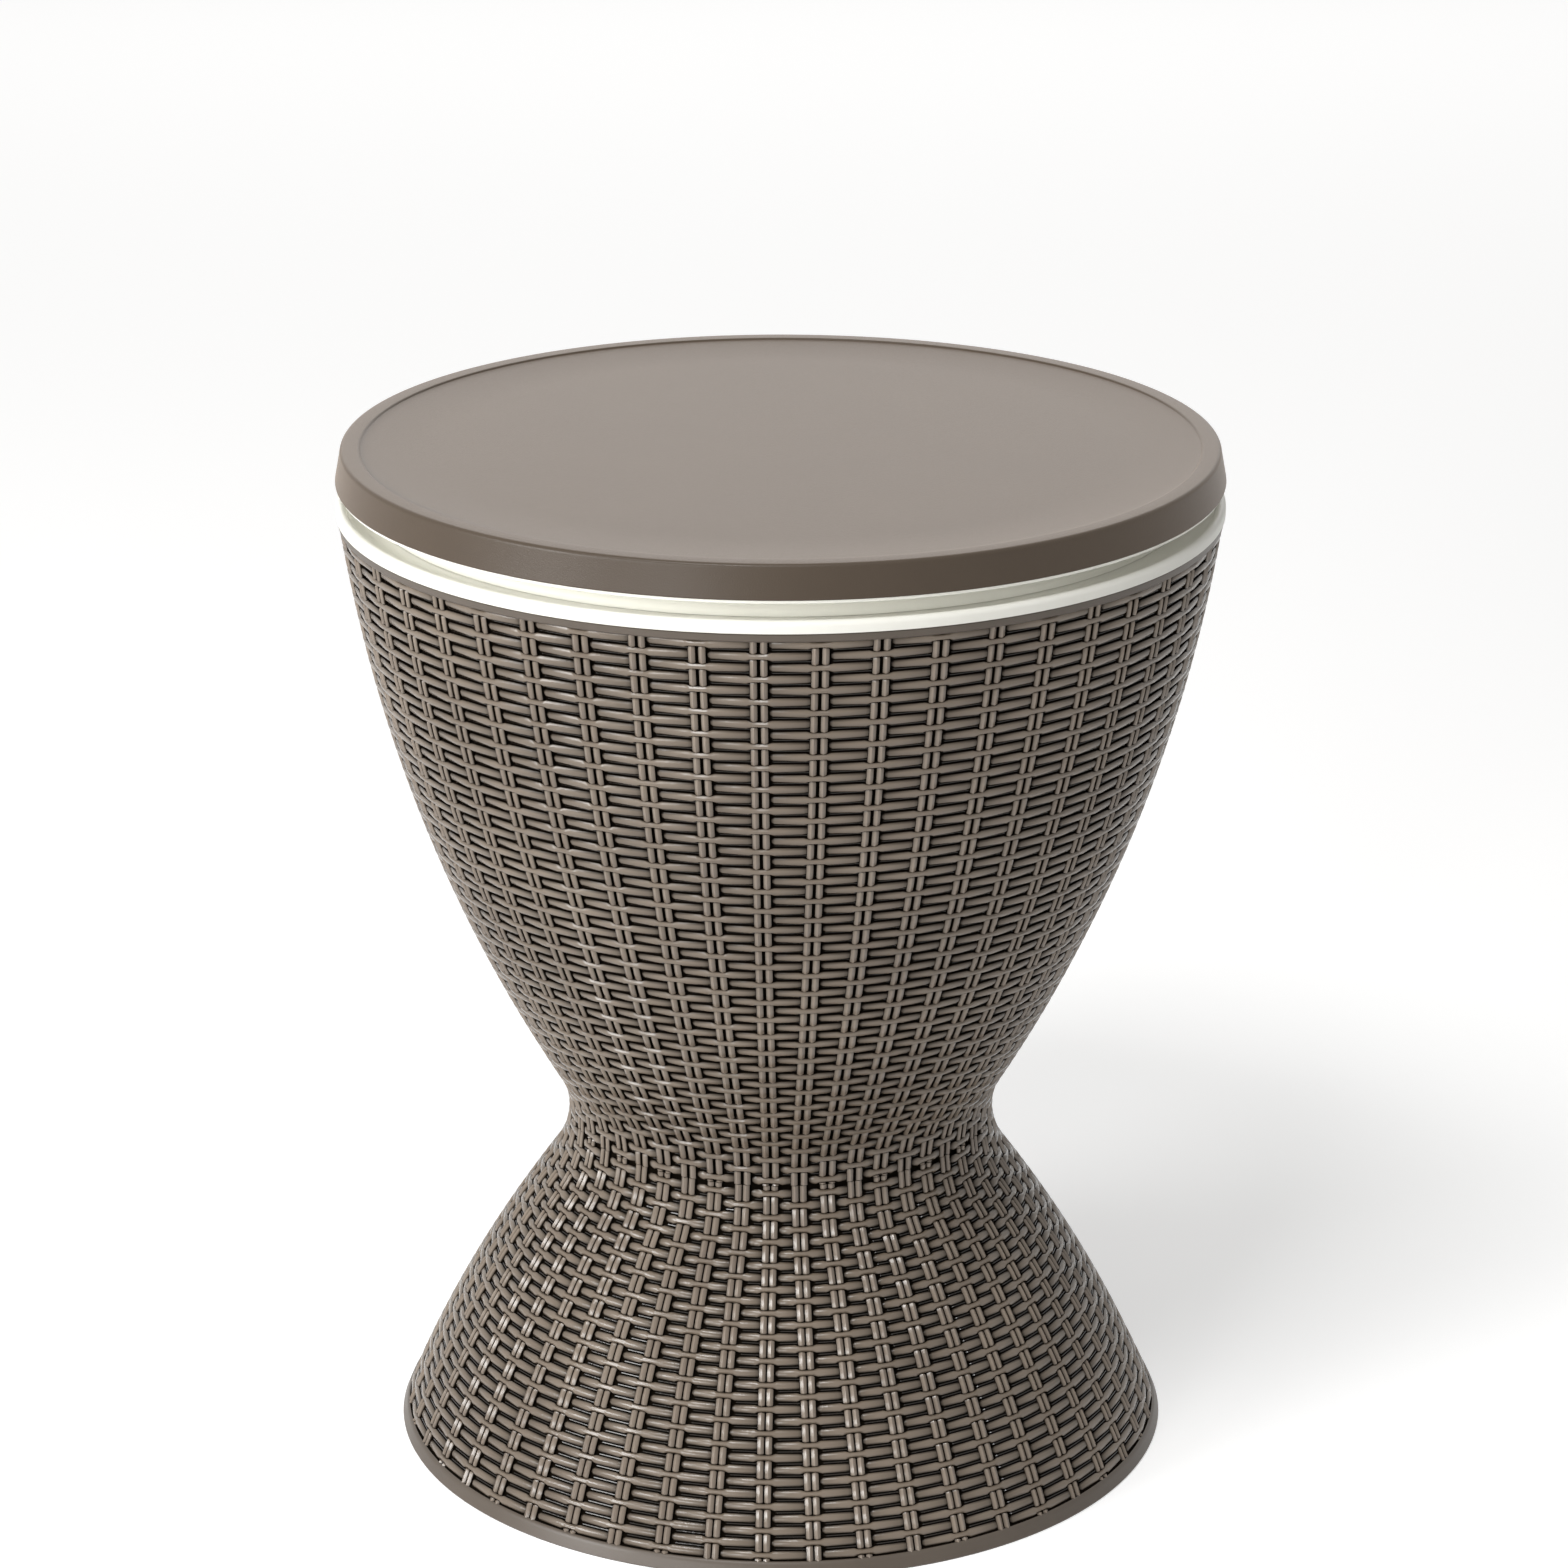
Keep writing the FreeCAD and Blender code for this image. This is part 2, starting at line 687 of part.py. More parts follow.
def drain_plug():
    seat = plug_seat()
    stem = drain_bore - free_gap
    groove_low = seat - plug_depth / 2.0
    plug = turned([
        (0.0, seat - plug_depth),
        (stem, seat - plug_depth),
        (stem, groove_low),
        (stem - plug_ring_section, groove_low),
        (stem - plug_ring_section, groove_low + plug_ring_section),
        (stem, groove_low + plug_ring_section),
        (stem, seat),
        (plug_head_radius, seat),
        (plug_head_radius, seat + plug_head_height),
        (0.0, seat + plug_head_height),
    ])
    grip = Part.makeBox(1.4 * plug_head_radius, plug_grip_width, plug_grip_height,
                        Vector(-0.7 * plug_head_radius, -plug_grip_width / 2.0, seat + plug_head_height - 1.0))
    plug = plug.fuse(grip)
    plug.translate(Vector(0, drain_offset, 0))
    return plug


def plug_ring():
    low = plug_seat() - plug_depth / 2.0
    inner = drain_bore - free_gap - plug_ring_section
    ring = washer(drain_bore - running_fit, inner, low, low + plug_ring_section)
    ring.translate(Vector(0, drain_offset, 0))
    return ring


def waist_screws():
    return screws(waist_places, waist_flange_top, -1, waist_flange_thickness + screw_bite)


def column_screws():
    shank = column_flange_thickness + gasket_thickness + screw_bite - screw_tip_room
    return screws(column_places, column_flange_top, -1, shank)


def lid_screws():
    return screws(lid_places, pan_bottom, 1, lid_wall + screw_bite)


def socket_screws():
    return screws(socket_places, socket_bottom, 1, socket_flange_thickness + screw_bite)


parts = {
    "base_shell": base_shell,
    "barrel_shell": barrel_shell,
    "waist_screws": waist_screws,
    "inner_tub": inner_tub,
    "guide_column": guide_column,
    "column_gasket": column_gasket,
    "column_screws": column_screws,
    "column_collar": column_collar,
    "drain_fitting": drain_fitting,
    "drain_gasket": drain_gasket,
    "drain_nut": drain_nut,
    "drain_plug": drain_plug,
    "plug_ring": plug_ring,
    "guide_bush": guide_bush,
    "lift_tube": lift_tube,
    "tube_foot": tube_foot,
    "foot_pin": foot_pin,
    "tube_socket": tube_socket,
    "head_pin": head_pin,
    "socket_screws": socket_screws,
    "lid_underside": lid_underside,
    "lid_screws": lid_screws,
    "tabletop": tabletop,
}

for name, make in parts.items():
    shape = make()
    shape.exportStep("parts/" + name + ".step")
    print(name, len(shape.Solids), "solid", round(shape.Volume / 1000.0, 2), "cm3")
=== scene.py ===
# %% [markdown]
# # A round cooler table
#
# The table is a tub for ice with a lid that doubles as a table top. Four things make its look: the
# moulded weave on the waisted pedestal, the pale tub rim that shows in the channel under the lid, the
# shallow tray on top, and the telescoping column inside that the lid climbs on. The CAD solids are
# already in place, so this file gives them finer skins and finishes and never moves them.

# %% Load the solids
import json
import math
import bmesh
import bpy
from mathutils import Matrix, Vector


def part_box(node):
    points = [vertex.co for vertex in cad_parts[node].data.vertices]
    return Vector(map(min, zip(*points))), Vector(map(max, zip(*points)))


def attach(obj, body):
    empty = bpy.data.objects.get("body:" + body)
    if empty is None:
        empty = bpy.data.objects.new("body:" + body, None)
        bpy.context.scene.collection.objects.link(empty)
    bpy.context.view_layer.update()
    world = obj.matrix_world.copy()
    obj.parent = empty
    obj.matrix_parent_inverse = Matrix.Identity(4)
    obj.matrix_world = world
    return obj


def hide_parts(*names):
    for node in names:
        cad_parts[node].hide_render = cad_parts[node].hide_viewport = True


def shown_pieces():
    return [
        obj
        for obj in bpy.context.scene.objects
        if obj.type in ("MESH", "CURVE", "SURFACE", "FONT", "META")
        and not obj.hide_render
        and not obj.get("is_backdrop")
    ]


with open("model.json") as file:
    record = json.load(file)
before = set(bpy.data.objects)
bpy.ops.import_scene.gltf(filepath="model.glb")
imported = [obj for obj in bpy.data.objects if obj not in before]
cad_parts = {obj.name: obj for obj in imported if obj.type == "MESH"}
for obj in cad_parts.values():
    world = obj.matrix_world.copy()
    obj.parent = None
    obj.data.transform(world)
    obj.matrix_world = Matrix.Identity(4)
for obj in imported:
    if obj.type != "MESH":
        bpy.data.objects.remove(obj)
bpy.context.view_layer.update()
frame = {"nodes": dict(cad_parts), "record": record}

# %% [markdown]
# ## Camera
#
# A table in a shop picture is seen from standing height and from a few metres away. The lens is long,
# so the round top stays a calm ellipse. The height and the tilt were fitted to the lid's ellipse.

camera_tilt = 19.03
camera_data = bpy.data.cameras.new("catalogue_camera")
camera_data.sensor_width = 36.0
camera_data.lens = 114.8
camera = bpy.data.objects.new("catalogue_camera", camera_data)
camera.location = (0.0018, -2.6395, 1.2897)
camera.rotation_euler = (math.radians(90.0 - camera_tilt), 0.0, 0.0)
bpy.context.scene.collection.objects.link(camera)
bpy.context.scene.camera = camera
bpy.context.scene.view_settings.view_transform = "Standard"
print("camera looks down by", 90.0 - math.degrees(camera.rotation_euler.x), "degrees")

# %% [markdown]
# ## Light and floor
#
# A wide panel on the left is the key light: it draws the broad sheen on the skirt and brightens one
# side of every strand. A smaller one high in front puts the short bright streaks on the spread foot. A
# soft low sun from the front left and the room's own even light fill the rest, so the pale channel
# under the lid stays bright, and the liner's cream is painted lighter as painted light in its cove. The
# brown plastic itself is dark, and the weave's strands and stakes are painted lighter for the light
# that their relief catches. The tray looks lighter because it is seen at a low angle, where it mirrors
# the white room and the panel far behind, and because its finish blooms a little. The floor keeps the
# table's shadow, because part of its white is its own colour.

# %% Small helpers for shader nodes
def fresh_nodes(owner):
    owner.use_nodes = True
    owner.node_tree.nodes.clear()
    return owner.node_tree


def add_node(tree, kind, **settings):
    node = tree.nodes.new(kind)
    for name, value in settings.items():
        setattr(node, name, value)
    return node


def looked_at(tree):
    """Is 1 where the camera looks, straight, by reflection or through a clear body, and else 0."""
    paths = add_node(tree, "ShaderNodeLightPath")
    either = add_node(tree, "ShaderNodeMath", operation="ADD", use_clamp=True)
    both = add_node(tree, "ShaderNodeMath", operation="ADD", use_clamp=True)
    tree.links.new(paths.outputs["Is Camera Ray"], either.inputs[0])
    tree.links.new(paths.outputs["Is Glossy Ray"], either.inputs[1])
    tree.links.new(either.outputs[0], both.inputs[0])
    tree.links.new(paths.outputs["Is Transmission Ray"], both.inputs[1])
    return both.outputs[0]


# %% World and lamps
world = bpy.data.worlds.new("white_room")
bpy.context.scene.world = world
room = fresh_nodes(world)
room_soft = add_node(room, "ShaderNodeBackground")
room_soft.inputs["Color"].default_value = (1.0, 0.99, 0.97, 1.0)
room_soft.inputs["Strength"].default_value = 0.40
room_white = add_node(room, "ShaderNodeBackground")
room_white.inputs["Strength"].default_value = 1.0
room_mix = add_node(room, "ShaderNodeMixShader")
room_out = add_node(room, "ShaderNodeOutputWorld")
room.links.new(looked_at(room), room_mix.inputs["Fac"])
room.links.new(room_soft.outputs[0], room_mix.inputs[1])
room.links.new(room_white.outputs[0], room_mix.inputs[2])
room.links.new(room_mix.outputs[0], room_out.inputs["Surface"])


def aim(lamp, place, target=(0.0, 0.0, 0.35)):
    lamp.location = place
    towards = Vector(target) - Vector(place)
    lamp.rotation_euler = towards.to_track_quat("-Z", "Y").to_euler()
    bpy.context.scene.collection.objects.link(lamp)


sun_data = bpy.data.lights.new("window_sun", "SUN")
sun_data.energy = 0.84
sun_data.angle = math.radians(16.0)
aim(bpy.data.objects.new("window_sun", sun_data), (-1.45, -2.8, 0.85))


def softbox(name, place, width, height, energy):
    data = bpy.data.lights.new(name, "AREA")
    data.shape = "RECTANGLE"
    data.size = width
    data.size_y = height
    data.energy = energy
    aim(bpy.data.objects.new(name, data), place)


softbox("left_panel", (-2.4, -1.45, 1.2), 1.2, 1.1, 52.0)
softbox("high_panel", (-0.7, -1.5, 3.0), 1.1, 0.8, 45.0)
softbox("back_panel", (0.0, 5.0, 1.95), 5.0, 2.0, 30.0)

# %% Floor
floor_mesh = bmesh.new()
bmesh.ops.create_grid(floor_mesh, x_segments=1, y_segments=1, size=14.0)
floor_data = bpy.data.meshes.new("floor")
floor_mesh.to_mesh(floor_data)
floor_mesh.free()
floor = bpy.data.objects.new("floor", floor_data)
bpy.context.scene.collection.objects.link(floor)
floor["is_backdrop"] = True

paper = bpy.data.materials.new("white_floor")
paper_tree = fresh_nodes(paper)
paper_matte = add_node(paper_tree, "ShaderNodeBsdfDiffuse")
paper_matte.inputs["Color"].default_value = (0.80, 0.80, 0.80, 1.0)
paper_glow = add_node(paper_tree, "ShaderNodeEmission")
paper_lift = add_node(paper_tree, "ShaderNodeMath", operation="MULTIPLY")
paper_lift.inputs[1].default_value = 0.40
paper_sum = add_node(paper_tree, "ShaderNodeAddShader")
paper_out = add_node(paper_tree, "ShaderNodeOutputMaterial")
paper_tree.links.new(looked_at(paper_tree), paper_lift.inputs[0])
paper_tree.links.new(paper_lift.outputs[0], paper_glow.inputs["Strength"])
paper_tree.links.new(paper_matte.outputs[0], paper_sum.inputs[0])
paper_tree.links.new(paper_glow.outputs[0], paper_sum.inputs[1])
paper_tree.links.new(paper_sum.outputs[0], paper_out.inputs["Surface"])
floor_data.materials.append(paper)
print("floor spans", floor.dimensions.x, "m")

# %% [markdown]
# ## Finishes
#
# Every finish is a moulded plastic, a bright metal or rubber, so one recipe serves them all: a satin
# shader whose colour drifts a little between two tones and whose surface has a fine grain. The pattern
# reads the object's own coordinates, so it stays on the piece when the lid rises. The weave's finishes
# also carry painted shade: they grow darker and duller towards its floor. The thin cords are painted
# darker than the strands, as shade in the gaps, and are smoother. The strands and stakes are painted
# lighter than the tray's brown, for the light that their relief catches, and the weave's floor is
# painted near black as shade. The tray has a faint warm bloom, and the lid's liner is painted a lighter
# cream than the tub, as painted light in its shaded cove. These are set by the look of the photograph
# and not by anything known about the plastic.

# %% One recipe for moulded plastic, metal and rubber
drift_scale = 14.0
roughness_spread = 0.06
bloom_tint = (1.0, 0.72, 0.50, 1.0)
shade_full_below, shade_none_above = 0.34, 0.87


def finish(
        name, dark, light, roughness, grain_scale, grain_depth,
        metallic=0.0, shine=0.5, painted_shade_colour=None, bloom=0.0):
    material = bpy.data.materials.new(name)
    tree = fresh_nodes(material)
    place = add_node(tree, "ShaderNodeTexCoord")
    drift = add_node(tree, "ShaderNodeTexNoise")
    drift.inputs["Scale"].default_value = drift_scale
    drift.inputs["Detail"].default_value = 4.0
    tones = add_node(tree, "ShaderNodeValToRGB")
    tones.color_ramp.elements[0].position = 0.3
    tones.color_ramp.elements[0].color = (*dark, 1.0)
    tones.color_ramp.elements[1].position = 0.7
    tones.color_ramp.elements[1].color = (*light, 1.0)
    grain = add_node(tree, "ShaderNodeTexNoise")
    grain.inputs["Scale"].default_value = grain_scale
    grain.inputs["Detail"].default_value = 3.0
    polish = add_node(tree, "ShaderNodeMapRange")
    polish.inputs["To Min"].default_value = roughness - roughness_spread
    polish.inputs["To Max"].default_value = roughness + roughness_spread
    relief = add_node(tree, "ShaderNodeBump")
    relief.inputs["Strength"].default_value = 0.5
    relief.inputs["Distance"].default_value = grain_depth
    surface = add_node(tree, "ShaderNodeBsdfPrincipled")
    surface.inputs["Metallic"].default_value = metallic
    surface.inputs["Specular IOR Level"].default_value = shine
    surface.inputs["Sheen Weight"].default_value = bloom
    surface.inputs["Sheen Tint"].default_value = bloom_tint
    output = add_node(tree, "ShaderNodeOutputMaterial")
    link = tree.links.new
    link(place.outputs["Object"], drift.inputs["Vector"])
    link(place.outputs["Object"], grain.inputs["Vector"])
    link(drift.outputs["Fac"], tones.inputs["Fac"])
    colour = tones.outputs["Color"]
    # Painted shade: the colour darkens and the gloss dulls low in the weave, by each point's lift.
    if painted_shade_colour:
        colour, gloss = paint_shade_low_down(tree, colour, painted_shade_colour, shine)
        link(gloss, surface.inputs["Specular IOR Level"])
    link(colour, surface.inputs["Base Color"])
    link(grain.outputs["Fac"], polish.inputs["Value"])
    link(polish.outputs["Result"], surface.inputs["Roughness"])
    link(grain.outputs["Fac"], relief.inputs["Height"])
    link(relief.outputs["Normal"], surface.inputs["Normal"])
    link(surface.outputs[0], output.inputs["Surface"])
    return material


def paint_shade_low_down(tree, colour, painted_shade_colour, shine):
    """Paints shade near the weave's floor: darkens the colour and dulls the gloss by the lift that its
    points carry.
    """
    lift = add_node(tree, "ShaderNodeAttribute", attribute_name="lift")
    rise = add_node(tree, "ShaderNodeMapRange", interpolation_type="SMOOTHSTEP")
    rise.inputs["From Min"].default_value = shade_full_below
    rise.inputs["From Max"].default_value = shade_none_above
    blend = add_node(tree, "ShaderNodeMix", data_type="RGBA")
    blend.inputs["A"].default_value = (*painted_shade_colour, 1.0)
    tree.links.new(lift.outputs["Fac"], rise.inputs["Value"])
    tree.links.new(rise.outputs["Result"], blend.inputs["Factor"])
    tree.links.new(colour, blend.inputs["B"])
    gloss = add_node(tree, "ShaderNodeMath", operation="MULTIPLY")
    gloss.inputs[1].default_value = shine
    tree.links.new(rise.outputs["Result"], gloss.inputs[0])
    return blend.outputs["Result"], gloss.outputs[0]


# %% The finishes of this table
# Painted shade: the near-black colour that the weave's finishes blend to low down.
painted_shade_brown = (0.008, 0.006, 0.004)
# The strands and stakes are painted lighter than the tray's brown, for the light that their relief
# catches.
strand_painted_light = finish(
    "strand_painted_light", (0.134, 0.104, 0.077), (0.180, 0.142, 0.107), 0.23, 900.0, 0.0002, shine=0.55,
    painted_shade_colour=painted_shade_brown)
stake_painted_light = finish(
    "stake_painted_light", (0.164, 0.128, 0.098), (0.217, 0.172, 0.131), 0.24, 900.0, 0.0002, shine=0.68,
    painted_shade_colour=painted_shade_brown)
# The cords are painted darker than the strands, as shade in the gaps.
cord_painted_shade = finish(
    "cord_painted_shade", (0.015, 0.012, 0.009), (0.023, 0.018, 0.014), 0.13, 900.0, 0.0001, shine=0.4,
    painted_shade_colour=painted_shade_brown)
band_brown = finish(
    "band_brown", (0.078, 0.060, 0.045), (0.092, 0.073, 0.056), 0.40, 1100.0, 0.0001)
# The weave's floor is painted near black, as shade.
painted_shade_floor = finish(
    "painted_shade_floor", (0.004, 0.003, 0.002), (0.008, 0.006, 0.004), 0.60, 700.0, 0.0002, shine=0.0)
tray_brown = finish(
    "tray_brown", (0.056, 0.041, 0.029), (0.062, 0.046, 0.032), 0.36, 1300.0, 0.0002, shine=0.29,
    bloom=0.19)
cream = finish("cream_plastic", (0.755, 0.746, 0.685), (0.785, 0.777, 0.722), 0.38, 600.0, 0.0001)
# The liner's cream is painted lighter than the tub's, as painted light in its shaded cove.
liner_painted_light_cream = finish(
    "liner_painted_light_cream", (0.880, 0.872, 0.795), (0.905, 0.898, 0.825), 0.38, 600.0, 0.0001)
grey = finish("grey_plastic", (0.300, 0.295, 0.275), (0.370, 0.362, 0.340), 0.45, 900.0, 0.0001)
zinc = finish(
    "zinc_plate", (0.58, 0.58, 0.60), (0.70, 0.70, 0.72), 0.30, 1500.0, 0.00005, metallic=1.0)
rubber = finish("seal_rubber", (0.012, 0.012, 0.012), (0.022, 0.022, 0.021), 0.70, 1200.0, 0.0002)
print(len(bpy.data.materials), "materials so far")

# %% Dress the solids that keep their own mesh
slot_finish = {
    "woven_brown": band_brown,
    "tray_brown": tray_brown,
    "cream_plastic": cream,
    "grey_plastic": grey,
    "steel": zinc,
    "seal_rubber": rubber,
}
for subpart in frame["record"]["subparts"]:
    solid = frame["nodes"][subpart["node"]]
    solid.data.materials.clear()
    solid.data.materials.append(slot_finish[subpart["material_slot"]])

# %% [markdown]
# ## The pedestal's outline
#
# From the side the pedestal is an hourglass: a tight throat that runs tangent into one long bulge, both
# above and below the waist. Two circles per half say all of it, so the outline is kept as a formula.
# The ends come from the solids, and the throats are the same circles that the solids were turned from.

# %% Where the two shells begin and end
foot_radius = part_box("base_shell")[1].x
top_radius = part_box("barrel_shell")[1].x
top_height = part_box("barrel_shell")[1].z
seam_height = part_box("barrel_shell")[0].z
waist_radius = 0.1208
waist_height = 0.190
weave_relief = 0.0032
foot_band_height = 0.008
top_band_height = 0.005
print("foot", round(foot_radius, 4), "top", round(top_radius, 4), "seam at", round(seam_height, 4))


# %% Two tangent circles for each half
def hourglass_half(throat, turn_degrees, end_radius, end_height):
    up = 1.0 if end_height > waist_height else -1.0
    turn = math.radians(turn_degrees)
    throat_centre = waist_radius + throat
    joint_radius = throat_centre - throat * math.cos(turn)
    joint_height = waist_height + up * throat * math.sin(turn)
    run = math.hypot(end_radius - joint_radius, end_height - joint_height)
    lean = math.atan2(end_radius - joint_radius, abs(end_height - joint_height))
    bulge = run / (2.0 * math.sin(turn - lean))
    bulge_centre = joint_radius - bulge * math.cos(turn)
    bulge_height = joint_height + up * bulge * math.sin(turn)

    def radius_at(height, depth=0.0):
        joint = waist_height + up * (throat + depth) * math.sin(turn)
        if up * (height - joint) > 0.0:
            return bulge_centre + math.sqrt((bulge - depth) ** 2 - (height - bulge_height) ** 2)
        return throat_centre - math.sqrt((throat + depth) ** 2 - (height - waist_height) ** 2)

    return radius_at


barrel_radius = hourglass_half(0.048, 31.0, top_radius, top_height)
base_radius = hourglass_half(0.059, 36.3, foot_radius, 0.0)


def pedestal_radius(height, depth=0.0):
    half = base_radius if height < seam_height else barrel_radius
    return half(height, depth)


print("throat", round(pedestal_radius(waist_height), 4))

# %% Walk up the outline and note its length
outline_step = 0.0005
outline_walk = [(0.0, pedestal_radius(0.0), 0.0)]
while outline_walk[-1][2] < top_height:
    length, radius, height = outline_walk[-1]
    next_height = height + outline_step
    next_radius = pedestal_radius(min(next_height, top_height))
    length += math.hypot(next_radius - radius, outline_step)
    outline_walk.append((length, next_radius, next_height))
outline_length = outline_walk[-1][0]
seam_length = next(length for length, radius, height in outline_walk if height >= seam_height)


def outline_point(length, lift):
    """Radius and height of a point on the outline, lifted off the shell's floor under the weave."""
    low, high = 0, len(outline_walk) - 2
    while low < high:
        place = (low + high + 1) // 2
        low, high = (place, high) if outline_walk[place][0] <= length else (low, place - 1)
    below, above = outline_walk[low], outline_walk[low + 1]
    share = (length - below[0]) / (above[0] - below[0])
    radius = below[1] + share * (above[1] - below[1])
    height = below[2] + share * (above[2] - below[2])
    along = Vector((above[1] - below[1], above[2] - below[2])).normalized()
    depth = weave_relief - lift
    return radius - along.y * depth, height + along.x * depth


print("outline", round(outline_length, 4), "m long, seam at", round(seam_length, 4))

# %% [markdown]
# ## Turned skins
#
# The tub, the lid and both shells are round, and the camera sees their edges against white, so they are
# turned again here with far more steps than the solids have. A lathe is the natural tool: a pen draws
# half a section, with a vertex that is extruded for each straight and spun for each round, and the spin
# operator turns the section about the table's axis.

# %% The pen that draws a section
def pen_down(mesh, radius, height):
    return mesh.verts.new((radius, 0.0, height))


def pen_line(mesh, tip, radius, height):
    moved = bmesh.ops.extrude_vert_indiv(mesh, verts=[tip])["verts"][0]
    moved.co = (radius, 0.0, height)
    return moved


def pen_arc(mesh, tip, centre_radius, centre_height, degrees, steps):
    """The pen turns about a centre; a positive angle swings it from outwards to upwards."""
    swept = bmesh.ops.spin(
        mesh, geom=[tip], cent=(centre_radius, 0.0, centre_height), axis=(0.0, -1.0, 0.0),
        angle=math.radians(degrees), steps=steps, use_merge=False)
    return next(item for item in swept["geom_last"] if isinstance(item, bmesh.types.BMVert))


def pen_wall(mesh, tip, radius_at, depth, height_from, height_to, steps):
    """The pen follows the pedestal's outline, set in by a depth."""
    for step in range(1, steps + 1):
        height = height_from + (height_to - height_from) * step / steps
        tip = pen_line(mesh, tip, radius_at(height, depth), height)
    return tip


# %% The lathe
lathe_steps = 256
sharp_from = math.radians(38.0)
same_place = 1e-6


def lathe(mesh):
    """Turns the drawn section about the axis."""
    bmesh.ops.remove_doubles(mesh, verts=mesh.verts[:], dist=same_place)
    bmesh.ops.spin(
        mesh, geom=mesh.verts[:] + mesh.edges[:], cent=(0.0, 0.0, 0.0), axis=(0.0, 0.0, 1.0),
        angle=2.0 * math.pi, steps=lathe_steps, use_merge=True)
    bmesh.ops.remove_doubles(mesh, verts=mesh.verts[:], dist=same_place)


def as_object(mesh, name, finishes, pick_finish=None):
    """Hands back a smooth object whose sharp edges stay sharp."""
    bmesh.ops.recalc_face_normals(mesh, faces=mesh.faces[:])
    for face in mesh.faces:
        face.smooth = True
        if pick_finish:
            middle = face.calc_center_median()
            face.material_index = pick_finish(math.hypot(middle.x, middle.y), middle.z)
    data = bpy.data.meshes.new(name)
    mesh.to_mesh(data)
    mesh.free()
    data.set_sharp_from_angle(angle=sharp_from)
    for each in finishes:
        data.materials.append(each)
    made = bpy.data.objects.new(name, data)
    bpy.context.scene.collection.objects.link(made)
    open_edges = sum(1 for count in edge_uses(data).values() if count != 2)
    print(name, len(data.polygons), "faces,", open_edges, "open edges")
    return made


def edge_uses(data):
    uses = {}
    for loop in data.loops:
        uses[loop.edge_index] = uses.get(loop.edge_index, 0) + 1
    return uses


# %% [markdown]
# ## Shells
#
# Each shell is a thin wall. Its outside is the floor of the weave, painted near black as shade, except
# for the plain bands at the foot and the top, which stand as high as the weave itself.

# %% Shell sizes
shell_wall = 0.0024
foot_ledge_width = 0.010
rim_ledge_width = 0.009
waist_opening = 0.092
waist_flange = 0.004
spigot_wall = 0.003
spigot_height = 0.005
floor_depth = weave_relief
wall_depth = weave_relief + shell_wall
edge_round = 0.0008
outside_slack = 0.0005
spigot_gap = 0.0003
band_slack = 0.0002

# %% Base shell
base_mesh = bmesh.new()
foot_inner = foot_radius - foot_ledge_width
flange_bottom = seam_height - waist_flange
spigot_outer = waist_opening - spigot_gap
spigot_top = seam_height + waist_flange + spigot_height
tip = pen_down(base_mesh, foot_inner, 0.0)
tip = pen_line(base_mesh, tip, foot_radius - edge_round, 0.0)
tip = pen_line(base_mesh, tip, base_radius(edge_round), edge_round)
tip = pen_wall(base_mesh, tip, base_radius, 0.0, edge_round, foot_band_height - edge_round, 4)
tip = pen_line(base_mesh, tip, base_radius(foot_band_height) - edge_round, foot_band_height)
tip = pen_line(base_mesh, tip, base_radius(foot_band_height, floor_depth), foot_band_height)
tip = pen_wall(base_mesh, tip, base_radius, floor_depth, foot_band_height, seam_height, 36)
tip = pen_line(base_mesh, tip, spigot_outer, seam_height)
tip = pen_line(base_mesh, tip, spigot_outer, spigot_top)
tip = pen_line(base_mesh, tip, spigot_outer - spigot_wall, spigot_top)
tip = pen_line(base_mesh, tip, spigot_outer - spigot_wall, flange_bottom)
tip = pen_line(base_mesh, tip, base_radius(flange_bottom, wall_depth), flange_bottom)
tip = pen_wall(base_mesh, tip, base_radius, wall_depth, flange_bottom, shell_wall, 24)
tip = pen_line(base_mesh, tip, foot_inner, shell_wall)
tip = pen_line(base_mesh, tip, foot_inner, 0.0)


# Picks the painted shade for the weave's floor and the band brown everywhere else.
def base_painted_shade_mask(radius, height):
    outside = radius > base_radius(height, floor_depth) - outside_slack
    return 1 if outside and foot_band_height < height < seam_height - outside_slack else 0


lathe(base_mesh)
base_skin = as_object(base_mesh, "base_skin", [band_brown, painted_shade_floor], base_painted_shade_mask)
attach(base_skin, "body")
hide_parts("base_shell")

# %% Barrel shell
barrel_mesh = bmesh.new()
band_bottom = top_height - top_band_height
ledge_bottom = top_height - shell_wall
ledge_inner = top_radius - shell_wall - rim_ledge_width
flange_top = seam_height + waist_flange
tip = pen_down(barrel_mesh, waist_opening, seam_height)
tip = pen_line(barrel_mesh, tip, barrel_radius(seam_height, floor_depth), seam_height)
tip = pen_wall(barrel_mesh, tip, barrel_radius, floor_depth, seam_height, band_bottom, 60)
tip = pen_line(barrel_mesh, tip, barrel_radius(band_bottom) - edge_round, band_bottom)
tip = pen_line(barrel_mesh, tip, barrel_radius(band_bottom + edge_round), band_bottom + edge_round)
tip = pen_wall(
    barrel_mesh, tip, barrel_radius, 0.0, band_bottom + edge_round, top_height - edge_round, 3)
tip = pen_line(barrel_mesh, tip, top_radius - edge_round, top_height)
tip = pen_line(barrel_mesh, tip, ledge_inner, top_height)
tip = pen_line(barrel_mesh, tip, ledge_inner, ledge_bottom)
tip = pen_line(barrel_mesh, tip, barrel_radius(ledge_bottom, wall_depth), ledge_bottom)
tip = pen_wall(barrel_mesh, tip, barrel_radius, wall_depth, ledge_bottom, flange_top, 30)
tip = pen_line(barrel_mesh, tip, waist_opening, flange_top)
tip = pen_line(barrel_mesh, tip, waist_opening, seam_height)


